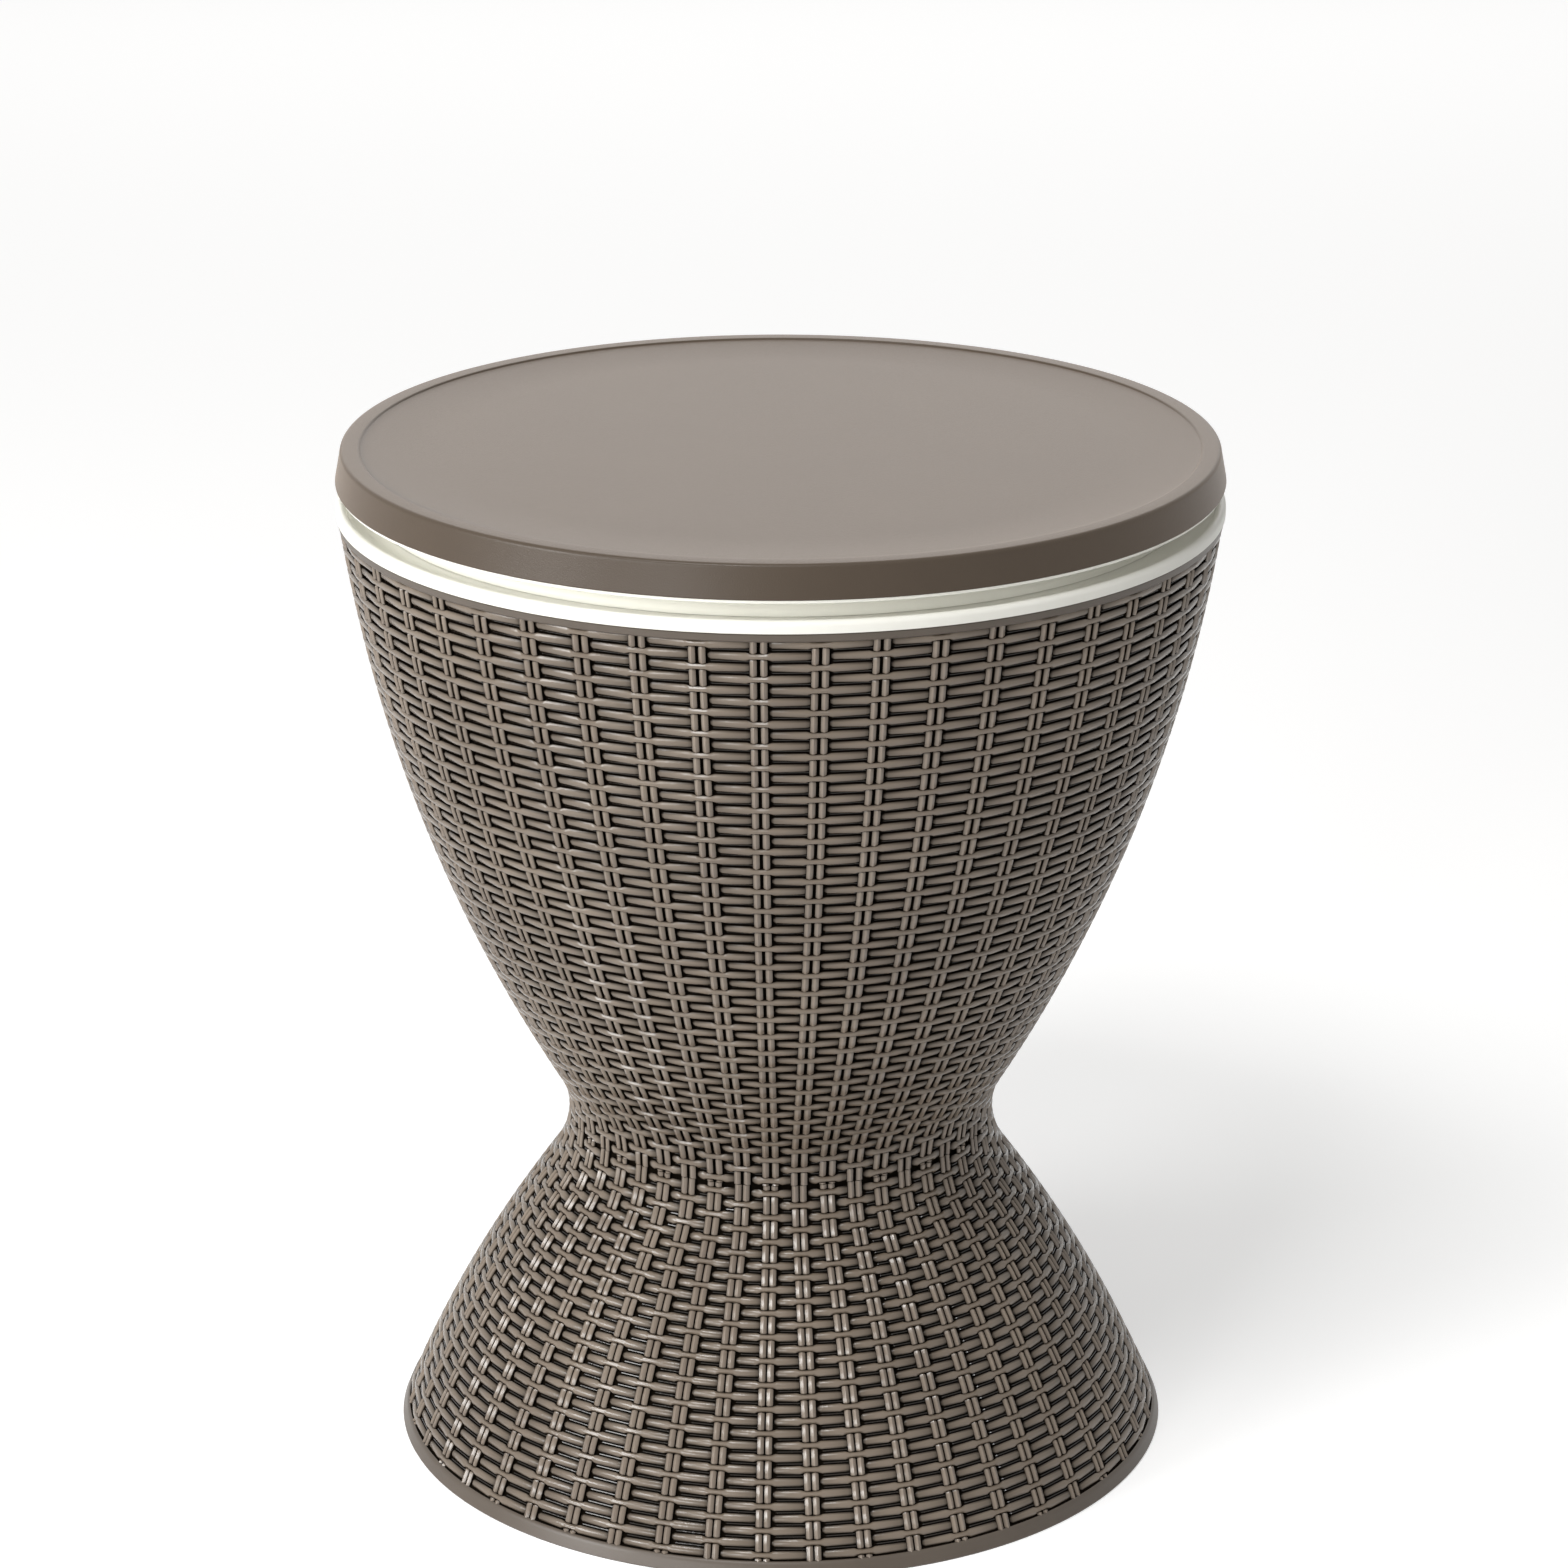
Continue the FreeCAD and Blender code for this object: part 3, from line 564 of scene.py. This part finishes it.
# Picks the painted shade for the weave's floor and the band brown everywhere else.
def barrel_painted_shade_mask(radius, height):
    outside = radius > barrel_radius(height, floor_depth) - outside_slack
    return 1 if outside and seam_height < height < band_bottom - band_slack else 0


lathe(barrel_mesh)
barrel_skin = as_object(barrel_mesh, "barrel_skin", [band_brown, painted_shade_floor], barrel_painted_shade_mask)
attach(barrel_skin, "body")
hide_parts("barrel_shell")

# %% [markdown]
# ## Weave
#
# The pedestal copies a basket: slightly flattened strands run round it in rows and pass over and under
# pairs of upright stakes, turn about from row to row. A strand is pinched where it crosses over a pair,
# comes out from under the next with a rounded tip, and runs full into the side of the pair that hides
# it. A thin cord lies low in each gap between two rows. Its colour is painted dark as shade in the gap,
# and it catches a little light on the spread foot. The real weave is one moulding, but the eye reads
# strands, so they are made as strands. A picture of a weave on a bump map would be flat at the outline,
# where the relief shows against white, so each row is a real ring that is pressed into a wave.

# %% Weave sizes
stake_pairs = 48
waves = stake_pairs // 2
wave_stations = 12
flatness = 0.78
strand_sides = 8
cord_sides = 6
base_row_count = 31
barrel_row_count = 58
first_pair_turn = math.radians(-2.65)
pair_turn = 2.0 * math.pi / stake_pairs
stake_width = 0.0041
barrel_stake_gap = 0.0012
base_stake_gap = 0.0003
stake_lift = 0.0030
barrel_strand_height = 0.0048
base_strand_height = 0.0047
buried = 0.0008


def rows_between(first, last, count):
    """Lengths up the outline at which the middles of the strands lie."""
    return [first + (last - first) * row / (count - 1) for row in range(count)]


foot_band_top = next(
    length for length, radius, height in outline_walk if height >= foot_band_height)
top_band_bottom = outline_length - top_band_height
base_ends = (foot_band_top + 0.0035, seam_length - 0.0046)
barrel_ends = (seam_length + 0.0028, top_band_bottom - 0.0025)
base_rows = rows_between(*base_ends, base_row_count)
barrel_rows = rows_between(*barrel_ends, barrel_row_count)
print(len(base_rows) + len(barrel_rows), "rows of strands over", stake_pairs, "pairs of stakes")


# %% A point on the pedestal
def on_pedestal(turn, length, lift):
    """The turn is from the front towards +X, the length up the outline, the lift off its floor."""
    radius, height = outline_point(length, lift)
    return Vector((radius * math.sin(turn), -radius * math.cos(turn), height))


# %% One row of strands
def strand_wave(pitch, edge):
    """(distance from the middle of the pair it crosses, lift, share of its full height) over a wave.

    The edge is the distance from the middle of a pair of stakes to its outer side."""
    return [
        (0.0, weave_relief, 0.62),
        (edge - 0.0006, weave_relief - 0.0001, 0.68),
        (edge + 0.0018, weave_relief - 0.0002, 1.0),
        (pitch - edge - 0.0024, weave_relief - 0.0009, 1.0),
        (pitch - edge - 0.0001, weave_relief - 0.0013, 0.96),
        (pitch - edge + 0.0008, -0.0002, 0.60),
        (pitch, -0.0006, 0.40),
        (pitch + edge + 0.0002, -0.0002, 0.35),
        (pitch + edge + 0.0008, weave_relief - 0.0017, 0.60),
        (pitch + edge + 0.0024, weave_relief - 0.0010, 0.92),
        (2.0 * pitch - edge - 0.0018, weave_relief - 0.0002, 1.0),
        (2.0 * pitch - edge + 0.0006, weave_relief - 0.0001, 0.68),
    ]


def standing_at(radius, height):
    """Stands a flat circle upright in the section, ready to be spun."""
    here = Matrix.Translation((radius, 0.0, height))
    return here @ Matrix.Rotation(math.radians(90.0), 4, "X")


def strand_row(row_length, over_turn, strand_height, stake_gap):
    """A ring of plastic round the pedestal, pressed down under every second pair of stakes."""
    strand_half = strand_height / 2.0
    mesh = bmesh.new()
    lifts = mesh.verts.layers.float.new("lift")
    radius, height = outline_point(row_length, weave_relief)
    whole_wave = strand_wave(pair_turn * radius, stake_width + stake_gap / 2.0)
    bmesh.ops.create_circle(mesh, cap_ends=False, radius=strand_half, segments=strand_sides)
    upright = standing_at(radius, height)
    upright = upright @ Matrix.Rotation(math.radians(180.0 / strand_sides), 4, "Z")
    bmesh.ops.transform(mesh, matrix=upright, verts=mesh.verts[:])
    bmesh.ops.spin(
        mesh, geom=mesh.verts[:] + mesh.edges[:], cent=(0.0, 0.0, 0.0), axis=(0.0, 0.0, 1.0),
        angle=2.0 * math.pi, steps=waves * wave_stations, use_merge=True)
    for vert in mesh.verts:
        # The lift, from 0 to 1, is the mask of the painted shade low in the weave.
        vert[lifts] = press(vert, radius, height, row_length, strand_half, whole_wave, over_turn)
    return mesh


def flattened(value):
    """Pushes a share between -1 and 1 outwards, which makes a round section a little flatter."""
    return math.copysign(abs(value) ** flatness, value)


def press(vert, radius, height, row_length, strand_half, whole_wave, over_turn):
    """Moves one point of the ring to its place on the wave and says how high it lies, from 0 to 1."""
    step_turn = pair_turn * 2.0 / wave_stations
    step = round(math.atan2(vert.co.y, vert.co.x) / step_turn) % (waves * wave_stations)
    wave, station = divmod(step, wave_stations)
    distance, lift, share = whole_wave[station]
    turn = over_turn + wave * 2.0 * pair_turn + distance / radius
    outward = flattened((math.hypot(vert.co.x, vert.co.y) - radius) / strand_half)
    upward = flattened((vert.co.z - height) / strand_half)
    low = min(-buried, lift - buried)
    middle, thick = (lift + low) / 2.0, (lift - low) / 2.0
    rise = middle + thick * outward
    vert.co = on_pedestal(turn, row_length + upward * strand_half * share, rise)
    return max(0.0, rise / weave_relief)


def add_copy(gathered, mesh):
    """Moves a small mesh into the one that gathers them, which is quicker than growing one mesh."""
    carrier = bpy.data.meshes.new("carrier")
    mesh.to_mesh(carrier)
    mesh.free()
    gathered.from_mesh(carrier)
    bpy.data.meshes.remove(carrier)


def strand_piece(name, rows, first_row, strand_height, stake_gap):
    gathered = bmesh.new()
    gathered.verts.layers.float.new("lift")
    for count, row_length in enumerate(rows):
        odd = (first_row + count) % 2
        over_turn = first_pair_turn + odd * pair_turn
        add_copy(gathered, strand_row(row_length, over_turn, strand_height, stake_gap))
    piece = as_object(gathered, name, [strand_painted_light])
    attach(piece, "body")


# %% All the strands
half_way = barrel_row_count // 2
low_rows, high_rows = barrel_rows[:half_way], barrel_rows[half_way:]
strand_piece("base_strands", base_rows, 0, base_strand_height, base_stake_gap)
strand_piece("barrel_strands_low", low_rows, 0, barrel_strand_height, barrel_stake_gap)
strand_piece("barrel_strands_high", high_rows, half_way, barrel_strand_height, barrel_stake_gap)

# %% The thin cords between the rows
def cord_ring(row_length, cord_half, cord_lift):
    """A thin ring in one gap, which dips out of sight at each pair of stakes.

    Its stations say how far from the middle of a pair each one is, and how high the ring lies there."""
    hidden = -0.0002
    cord_stations = ((-0.0044, cord_lift), (-0.0036, hidden), (0.0056, hidden), (0.0072, cord_lift))
    mesh = bmesh.new()
    lifts = mesh.verts.layers.float.new("lift")
    radius, height = outline_point(row_length, 0.0)
    bmesh.ops.create_circle(mesh, cap_ends=False, radius=cord_half, segments=cord_sides)
    bmesh.ops.transform(mesh, matrix=standing_at(radius, height), verts=mesh.verts[:])
    steps = stake_pairs * len(cord_stations)
    bmesh.ops.spin(
        mesh, geom=mesh.verts[:] + mesh.edges[:], cent=(0.0, 0.0, 0.0), axis=(0.0, 0.0, 1.0),
        angle=2.0 * math.pi, steps=steps, use_merge=True)
    for vert in mesh.verts:
        step = round(math.atan2(vert.co.y, vert.co.x) / (2.0 * math.pi / steps)) % steps
        pair, station = divmod(step, len(cord_stations))
        distance, lift = cord_stations[station]
        outward = (math.hypot(vert.co.x, vert.co.y) - radius) / cord_half
        upward = vert.co.z - height
        middle, thick = (lift - buried) / 2.0, (lift + buried) / 2.0
        turn = first_pair_turn + pair * pair_turn + distance / radius
        rise = middle + thick * outward
        vert.co = on_pedestal(turn, row_length + upward, rise)
        # The lift, from 0 to 1, is the mask of the painted shade low in the weave.
        vert[lifts] = max(0.0, rise / cord_lift)
    return mesh


for name, rows, cord_half, cord_lift in (
        ("base_cords", base_rows, 0.0005, 0.0017), ("barrel_cords", barrel_rows, 0.0004, 0.0009)):
    cord_mesh = bmesh.new()
    cord_mesh.verts.layers.float.new("lift")
    for low_row, high_row in zip(rows, rows[1:]):
        add_copy(cord_mesh, cord_ring((low_row + high_row) / 2.0, cord_half, cord_lift))
    cords = as_object(cord_mesh, name, [cord_painted_shade])
    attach(cords, "body")

# %% [markdown]
# ## Stakes
#
# The stakes stand in pairs and show as short rounded bits wherever the strands dive under them. Each
# one is a grid that is rolled into a long tube and laid up the outline. It is low under the strands
# that cross it and high between them. One stake is made for each parity and side, and spun round.

# %% One stake
# Each step of the dive under a strand: distance from the strand's middle, lift, share of the width.
stake_dive = ((0.0025, 0.0029, 1.0), (0.0018, 0.0025, 0.88), (0.0013, 0.0010, 0.55))
stake_end_lift = stake_lift - 0.0002
stake_sides = 6


def stake_stations(start, end, crossings):
    """(length up the outline, lift, width) from one end of a stake to the other."""
    stations = [(start, stake_end_lift, 1.0)]
    for crossing in crossings:
        for away, lift, width in stake_dive:
            stations.append((crossing - away, lift, width))
            stations.append((crossing + away, lift, width))
    stations += [((low + high) / 2.0, stake_lift, 1.0) for low, high in zip(crossings, crossings[1:])]
    stations.append((end, stake_end_lift, 1.0))
    return sorted(station for station in stations if start <= station[0] <= end)


def stake(mesh, stations, turn, aside):
    lifts = mesh.verts.layers.float["lift"]
    spans = len(stations) - 1
    sheet = bmesh.ops.create_grid(mesh, x_segments=stake_sides, y_segments=spans, size=1.0)["verts"]
    for vert in sheet:
        length, lift, width = stations[round((vert.co.y + 1.0) / 2.0 * spans)]
        angle = math.pi * (vert.co.x + 1.0)
        radius = outline_point(length, 0.0)[0]
        sideways = aside + math.sin(angle) * width * stake_width / 2.0
        middle, thick = (lift - buried) / 2.0, (lift + buried) / 2.0
        rise = middle - thick * math.cos(angle)
        vert.co = on_pedestal(turn + sideways / radius, length, rise)
        # The lift, from 0 to 1, is the mask of the painted shade low in the weave.
        vert[lifts] = max(0.0, rise / weave_relief)
    bmesh.ops.remove_doubles(mesh, verts=sheet, dist=same_place)


def stake_piece(name, shells):
    """shells lists (start, end, rows, first row, gap, parities) for each run of stakes in the piece."""
    mesh = bmesh.new()
    mesh.verts.layers.float.new("lift")
    for start, end, rows, first_row, stake_gap, parities in shells:
        for odd in parities:
            crossings = [
                length for count, length in enumerate(rows) if (first_row + count) % 2 == odd]
            stations = stake_stations(start, end, crossings)
            pair_middle = first_pair_turn + odd * pair_turn
            for side in (-0.5, 0.5):
                stake(mesh, stations, pair_middle, side * (stake_width + stake_gap))
    open_ends = [edge for edge in mesh.edges if edge.is_boundary]
    bmesh.ops.holes_fill(mesh, edges=open_ends, sides=0)
    bmesh.ops.spin(
        mesh, geom=mesh.verts[:] + mesh.edges[:] + mesh.faces[:], cent=(0.0, 0.0, 0.0),
        axis=(0.0, 0.0, 1.0), angle=2.0 * math.pi * (waves - 1) / waves, steps=waves - 1,
        use_duplicate=True)
    piece = as_object(mesh, name, [stake_painted_light])
    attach(piece, "body")


# %% All the stakes
# Lengths up the outline. The ends at the bands are tucked behind them, by 0.3 mm at the foot.
joint_gap = 0.0002
band_tuck = 0.0006
foot_length = foot_band_height + 0.0004
top_length = top_band_bottom + band_tuck
base_run = (foot_length, seam_length - joint_gap, base_rows, 0, base_stake_gap)
barrel_run = (seam_length + joint_gap, top_length, barrel_rows, 0, barrel_stake_gap)
stake_piece("base_stakes", [(*base_run, (0, 1))])
stake_piece("barrel_stakes_even", [(*barrel_run, (0,))])
stake_piece("barrel_stakes_odd", [(*barrel_run, (1,))])

# %% [markdown]
# ## Tub
#
# The tub is a pale moulded bowl. Its rim lies on the barrel's top ledge and ends in a round bead,
# and a shallow gutter between the bead and the lid's seat leads spilt water away from the mouth. Its
# floor has two holes, a round one for the column in the middle and a small one for the drain behind
# it. The small one is off the axis, so the lathe leaves both faces of the floor open, and they are
# filled round the two holes afterwards.

# %% Tub and lid sizes, the outermost read off the solids
def top_of(node):
    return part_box(node)[1].z


rim_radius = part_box("inner_tub")[1].x
rim_top = top_of("inner_tub")
bead = 0.003
seat_height = top_height + 0.003
air_gap = 0.0126
tub_depth = wall_depth + air_gap
tub_wall = 0.003
tub_floor = 0.265
tub_floor_wall = 0.0035
tub_underside = tub_floor - tub_floor_wall
tub_corner = 0.016
mouth_radius = barrel_radius(top_height, tub_depth + tub_wall)
seat_width = 0.0025
seat_radius = mouth_radius + seat_width
column_clearance = 0.0014
column_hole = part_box("guide_bush")[1].x + column_clearance
gutter_depth = 0.0019
drain_hole = 0.0134
hole_steps = 48
level_slack = 1e-5


def pen_round(mesh, tip, corner, end, steps=6):
    """The pen leaves for a corner and is drawn over to the end before it gets there."""
    start = (tip.co.x, tip.co.z)
    for step in range(1, steps + 1):
        share = step / steps
        weights = ((1.0 - share) ** 2, 2.0 * share * (1.0 - share), share ** 2)
        radius = weights[0] * start[0] + weights[1] * corner[0] + weights[2] * end[0]
        height = weights[0] * start[1] + weights[1] * corner[1] + weights[2] * end[1]
        tip = pen_line(mesh, tip, radius, height)
    return tip


# %% Tub skin
tub_mesh = bmesh.new()
bead_low = rim_top - bead
bead_inner = rim_radius - 2.0 * bead
gutter_middle = (seat_radius + bead_inner) / 2.0
gutter_low = seat_height - gutter_depth
wall_inside = tub_depth + tub_wall
tip = pen_down(tub_mesh, rim_radius, top_height)
tip = pen_line(tub_mesh, tip, rim_radius, bead_low)
tip = pen_arc(tub_mesh, tip, rim_radius - bead, bead_low, 180.0, 14)
tip = pen_round(tub_mesh, tip, (gutter_middle, gutter_low), (seat_radius, seat_height), 10)
tip = pen_line(tub_mesh, tip, mouth_radius, seat_height)
tip = pen_line(tub_mesh, tip, mouth_radius, top_height)
tip = pen_wall(tub_mesh, tip, barrel_radius, wall_inside, top_height, tub_floor + tub_corner, 24)
floor_corner = barrel_radius(tub_floor, wall_inside)
tip = pen_round(tub_mesh, tip, (floor_corner, tub_floor), (floor_corner - tub_corner, tub_floor), 8)
tip = pen_down(tub_mesh, column_hole, tub_floor)
tip = pen_line(tub_mesh, tip, column_hole, tub_underside)
under_corner = barrel_radius(tub_underside, tub_depth)
under_round = tub_corner + tub_wall
tip = pen_down(tub_mesh, under_corner - under_round, tub_underside)
under_start = (barrel_radius(tub_underside + under_round, tub_depth), tub_underside + under_round)
tip = pen_round(tub_mesh, tip, (under_corner, tub_underside), under_start, 8)
tip = pen_wall(tub_mesh, tip, barrel_radius, tub_depth, under_start[1], top_height, 24)
tip = pen_line(tub_mesh, tip, rim_radius, top_height)
lathe(tub_mesh)

drain_middle = (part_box("drain_fitting")[0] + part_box("drain_fitting")[1]) / 2.0
hole_rims = []
for height in (tub_floor, tub_underside):
    here = Matrix.Translation((drain_middle.x, drain_middle.y, height))
    ring = bmesh.ops.create_circle(
        tub_mesh, cap_ends=False, radius=drain_hole, segments=hole_steps, matrix=here)
    hole_rims += list({edge for vert in ring["verts"] for edge in vert.link_edges})
    level = [edge for edge in tub_mesh.edges if not edge.link_faces or edge.is_boundary]
    level = [
        edge for edge in level if all(abs(vert.co.z - height) < level_slack for vert in edge.verts)]
    bmesh.ops.triangle_fill(tub_mesh, use_beauty=True, use_dissolve=False, edges=level)
bmesh.ops.bridge_loops(tub_mesh, edges=hole_rims)
tub_skin = as_object(tub_mesh, "tub_skin", [cream])
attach(tub_skin, "body")
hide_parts("inner_tub")

# %% [markdown]
# ## Lid
#
# The lid is two mouldings. The brown tray on top has a flat floor inside a low lip, and a skirt that
# flares a little. The lip's inner step is small, and a slow fall that the eye hardly sees takes it down
# to the floor. The cream liner closes the tray from below: a thin lip under the skirt's edge, a cove
# that leaves room for fingers in the channel, and a ring that drops into the tub's mouth.

# %% Tray
lid_top = top_of("tabletop")
skirt_height = 0.0182
skirt_bottom = lid_top - skirt_height
lid_inset = 0.0025
lid_radius = top_radius - lid_inset
skirt_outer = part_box("tabletop")[1].x
lid_wall = 0.003
lip_round = 0.0025
lip_width = 0.0105
step_drop = 0.0009
floor_drop = 0.0024
tray_floor = lid_top - floor_drop
plate_underside = tray_floor - lid_wall
small_round = 0.0009
tray_dish = 0.045


def skirt_inside(height):
    slope = (skirt_outer - lid_radius) / (lid_top - lip_round - skirt_bottom)
    return lid_radius - lid_wall + slope * (lid_top - lip_round - height)


tray_mesh = bmesh.new()
step_inner = lid_radius - lip_width
tip = pen_down(tray_mesh, 0.0, plate_underside)
tip = pen_line(tray_mesh, tip, skirt_inside(plate_underside), plate_underside)
tip = pen_line(tray_mesh, tip, skirt_inside(skirt_bottom), skirt_bottom)
tip = pen_line(tray_mesh, tip, skirt_outer - small_round, skirt_bottom)
tip = pen_round(
    tray_mesh, tip, (skirt_outer, skirt_bottom), (skirt_outer - 0.0002, skirt_bottom + small_round))
tip = pen_line(tray_mesh, tip, lid_radius, lid_top - lip_round)
tip = pen_round(tray_mesh, tip, (lid_radius - 0.0001, lid_top), (lid_radius - lip_round, lid_top), 8)
tip = pen_line(tray_mesh, tip, step_inner + small_round, lid_top)
step_middle = (step_inner - small_round / 3.0, lid_top - step_drop / 2.0)
step_foot = (step_inner - small_round, lid_top - step_drop)
tip = pen_round(tray_mesh, tip, (step_inner, lid_top), step_middle, 4)
tip = pen_round(tray_mesh, tip, (step_foot[0] + small_round / 3.0, step_foot[1]), step_foot, 4)
dish_middle = (step_foot[0] - tray_dish / 2.0, tray_floor)
dish_foot = (step_foot[0] - tray_dish, tray_floor)
tip = pen_round(tray_mesh, tip, dish_middle, dish_foot, 8)
tip = pen_line(tray_mesh, tip, 0.0, tray_floor)
lathe(tray_mesh)
tray_skin = as_object(tray_mesh, "tray_skin", [tray_brown])
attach(tray_skin, "lid")
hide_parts("tabletop")

# %% Liner
liner_mesh = bmesh.new()
liner_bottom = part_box("lid_underside")[0].z
seat_rise, lip_drop, lip_inset, mouth_gap = 0.005, 0.0018, 0.0014, 0.0025
liner_seat = liner_bottom + seat_rise
liner_lip_bottom = skirt_bottom - lip_drop
liner_lip = skirt_outer - lip_inset
mouth_ring = mouth_radius - mouth_gap
cove = 0.011
socket_hole = 0.0291
liner_gap = 0.0005
skirt_touch = skirt_inside(skirt_bottom) - liner_gap
plate_touch = skirt_inside(plate_underside) - liner_gap
tip = pen_down(liner_mesh, socket_hole, liner_bottom)
tip = pen_line(liner_mesh, tip, mouth_ring - small_round, liner_bottom)
tip = pen_round(liner_mesh, tip, (mouth_ring, liner_bottom), (mouth_ring, liner_bottom + small_round))
tip = pen_line(liner_mesh, tip, mouth_ring, liner_seat)
tip = pen_line(liner_mesh, tip, seat_radius, liner_seat)
tip = pen_line(liner_mesh, tip, seat_radius, liner_lip_bottom - cove)
tip = pen_round(
    liner_mesh, tip, (seat_radius, liner_lip_bottom), (seat_radius + cove, liner_lip_bottom), 10)
tip = pen_line(liner_mesh, tip, liner_lip - small_round / 2.0, liner_lip_bottom)
tip = pen_round(
    liner_mesh, tip, (liner_lip, liner_lip_bottom), (liner_lip, liner_lip_bottom + small_round / 2.0))
tip = pen_line(liner_mesh, tip, liner_lip, skirt_bottom)
tip = pen_line(liner_mesh, tip, skirt_touch, skirt_bottom)
tip = pen_line(liner_mesh, tip, plate_touch, plate_underside)
tip = pen_line(liner_mesh, tip, plate_touch - lid_wall, plate_underside)
tip = pen_line(liner_mesh, tip, skirt_touch - lid_wall, liner_lip_bottom + lid_wall)
tip = pen_line(liner_mesh, tip, seat_radius + cove - lid_wall, liner_lip_bottom + lid_wall)
tip = pen_line(liner_mesh, tip, seat_radius - lid_wall, liner_lip_bottom + lid_wall - cove)
tip = pen_line(liner_mesh, tip, seat_radius - lid_wall, liner_seat + lid_wall)
tip = pen_line(liner_mesh, tip, mouth_ring - lid_wall, liner_seat + lid_wall)
tip = pen_line(liner_mesh, tip, mouth_ring - lid_wall, liner_bottom + lid_wall)
tip = pen_line(liner_mesh, tip, socket_hole, liner_bottom + lid_wall)
tip = pen_line(liner_mesh, tip, socket_hole, liner_bottom)
lathe(liner_mesh)
# The liner's cream is painted lighter than the tub's, as painted light in its shaded cove.
liner_skin = as_object(liner_mesh, "liner_skin", [liner_painted_light_cream])
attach(liner_skin, "lid")
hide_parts("lid_underside")

# %% [markdown]
# ## Screw bosses and screws
#
# Anyone who lifts the lid off or tips the table over sees what holds it together. Six bosses hang under
# the waist's flange and four under the tub's floor, each the plain post that a screw bites into. The
# screws are zinc-plated pan heads with a cross recess. A head is a small grid whose rim is pulled round
# and domed, with the crossing cells pushed in, so the recess is a real one that catches the light. The
# photograph shows none of this, so it follows how such tables are usually made.

# %% Places on a circle, and a post
def circle_places(circle, count):
    turns = [2.0 * math.pi * (step + 0.5) / count for step in range(count)]
    return [(circle * math.cos(turn), circle * math.sin(turn)) for turn in turns]


def post(mesh, place, radius, low, high, segments=32):
    here = Matrix.Translation((place[0], place[1], (low + high) / 2.0))
    bmesh.ops.create_cone(
        mesh, cap_ends=True, segments=segments, radius1=radius, radius2=radius, depth=high - low,
        matrix=here)


# %% Bosses
waist_places = circle_places(0.104, 6)
column_places = circle_places(0.042, 4)
lid_places = circle_places(0.182, 6)
socket_places = circle_places(0.042, 4)
sunk_in = 0.0005
for name, places, radius, high, depth, colour, slot in (
        ("waist_bosses", waist_places, 0.006, flange_bottom, 0.014, band_brown, "woven_brown"),
        ("tub_bosses", column_places, 0.005, tub_underside, 0.011, cream, "cream_plastic")):
    boss_mesh = bmesh.new()
    for place in places:
        post(boss_mesh, place, radius, high - depth, high + sunk_in)
    bosses = as_object(boss_mesh, name, [colour])
    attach(bosses, "body")

# %% A pan head with a cross recess
screw_head = 0.0045
head_height = 0.0028
screw_shank = 0.0022
grid_lines = (-1.0, -0.60, -0.17, 0.17, 0.60, 1.0)
dome_fall = 0.45
recess_share = 0.8
recess_floor = 0.35
shank_sides = 16


def in_the_cross(face):
    """Is true for the middle cell of the head and for the four beside it."""
    middle = face.calc_center_median()
    near, far = sorted((abs(middle.x), abs(middle.y)))
    return near < 0.0001 and far < screw_head / 2.0


def pan_head(mesh):
    """A head that looks up, with its seat at height 0."""
    cells = len(grid_lines) - 1
    sheet = bmesh.ops.create_grid(mesh, x_segments=cells, y_segments=cells, size=1.0)["verts"]
    for vert in sheet:
        across, along = (
            grid_lines[round((value + 1.0) / 2.0 * cells)] for value in (vert.co.x, vert.co.y))
        on_rim = max(abs(across), abs(along)) > 0.99
        stretch = 1.0 / math.hypot(across, along) if on_rim else 1.0
        across, along = across * stretch, along * stretch
        dome = 1.0 - dome_fall * (across ** 2 + along ** 2) ** 2
        vert.co = (across * screw_head, along * screw_head, head_height * dome)
    crossing = [face for face in mesh.faces if in_the_cross(face)]
    sunk = bmesh.ops.extrude_face_region(mesh, geom=crossing)["geom"]
    bmesh.ops.delete(mesh, geom=crossing, context="FACES_KEEP_BOUNDARY")
    for vert in (item for item in sunk if isinstance(item, bmesh.types.BMVert)):
        vert.co = (vert.co.x * recess_share, vert.co.y * recess_share, head_height * recess_floor)
    rim = [edge for edge in mesh.edges if edge.is_boundary]
    skirt = bmesh.ops.extrude_edge_only(mesh, edges=rim)["geom"]
    for vert in (item for item in skirt if isinstance(item, bmesh.types.BMVert)):
        vert.co.z = 0.0
    bmesh.ops.holes_fill(mesh, edges=[edge for edge in mesh.edges if edge.is_boundary], sides=0)


def screw_piece(node, places, driven_up, body):
    low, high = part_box(node)[0].z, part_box(node)[1].z
    seat = low + head_height if driven_up else high - head_height
    turned = Matrix.Rotation(math.pi if driven_up else 0.0, 4, "X")
    gathered = bmesh.new()
    for place in places:
        one = bmesh.new()
        pan_head(one)
        post(one, (0.0, 0.0), screw_shank, -(high - low - head_height), sunk_in, shank_sides)
        here = Matrix.Translation((place[0], place[1], seat)) @ turned
        bmesh.ops.transform(one, matrix=here, verts=one.verts[:])
        add_copy(gathered, one)
    piece = as_object(gathered, node + "_shaped", [zinc])
    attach(piece, body)
    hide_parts(node)


screw_piece("waist_screws", waist_places, False, "body")
screw_piece("column_screws", column_places, False, "body")
screw_piece("lid_screws", lid_places, True, "lid")
screw_piece("socket_screws", socket_places, True, "lid")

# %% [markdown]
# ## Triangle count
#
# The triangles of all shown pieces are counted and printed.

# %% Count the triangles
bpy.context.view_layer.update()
triangles = sum(
    len(polygon.vertices) - 2 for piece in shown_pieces() for polygon in piece.data.polygons)
print("triangles in all", triangles)
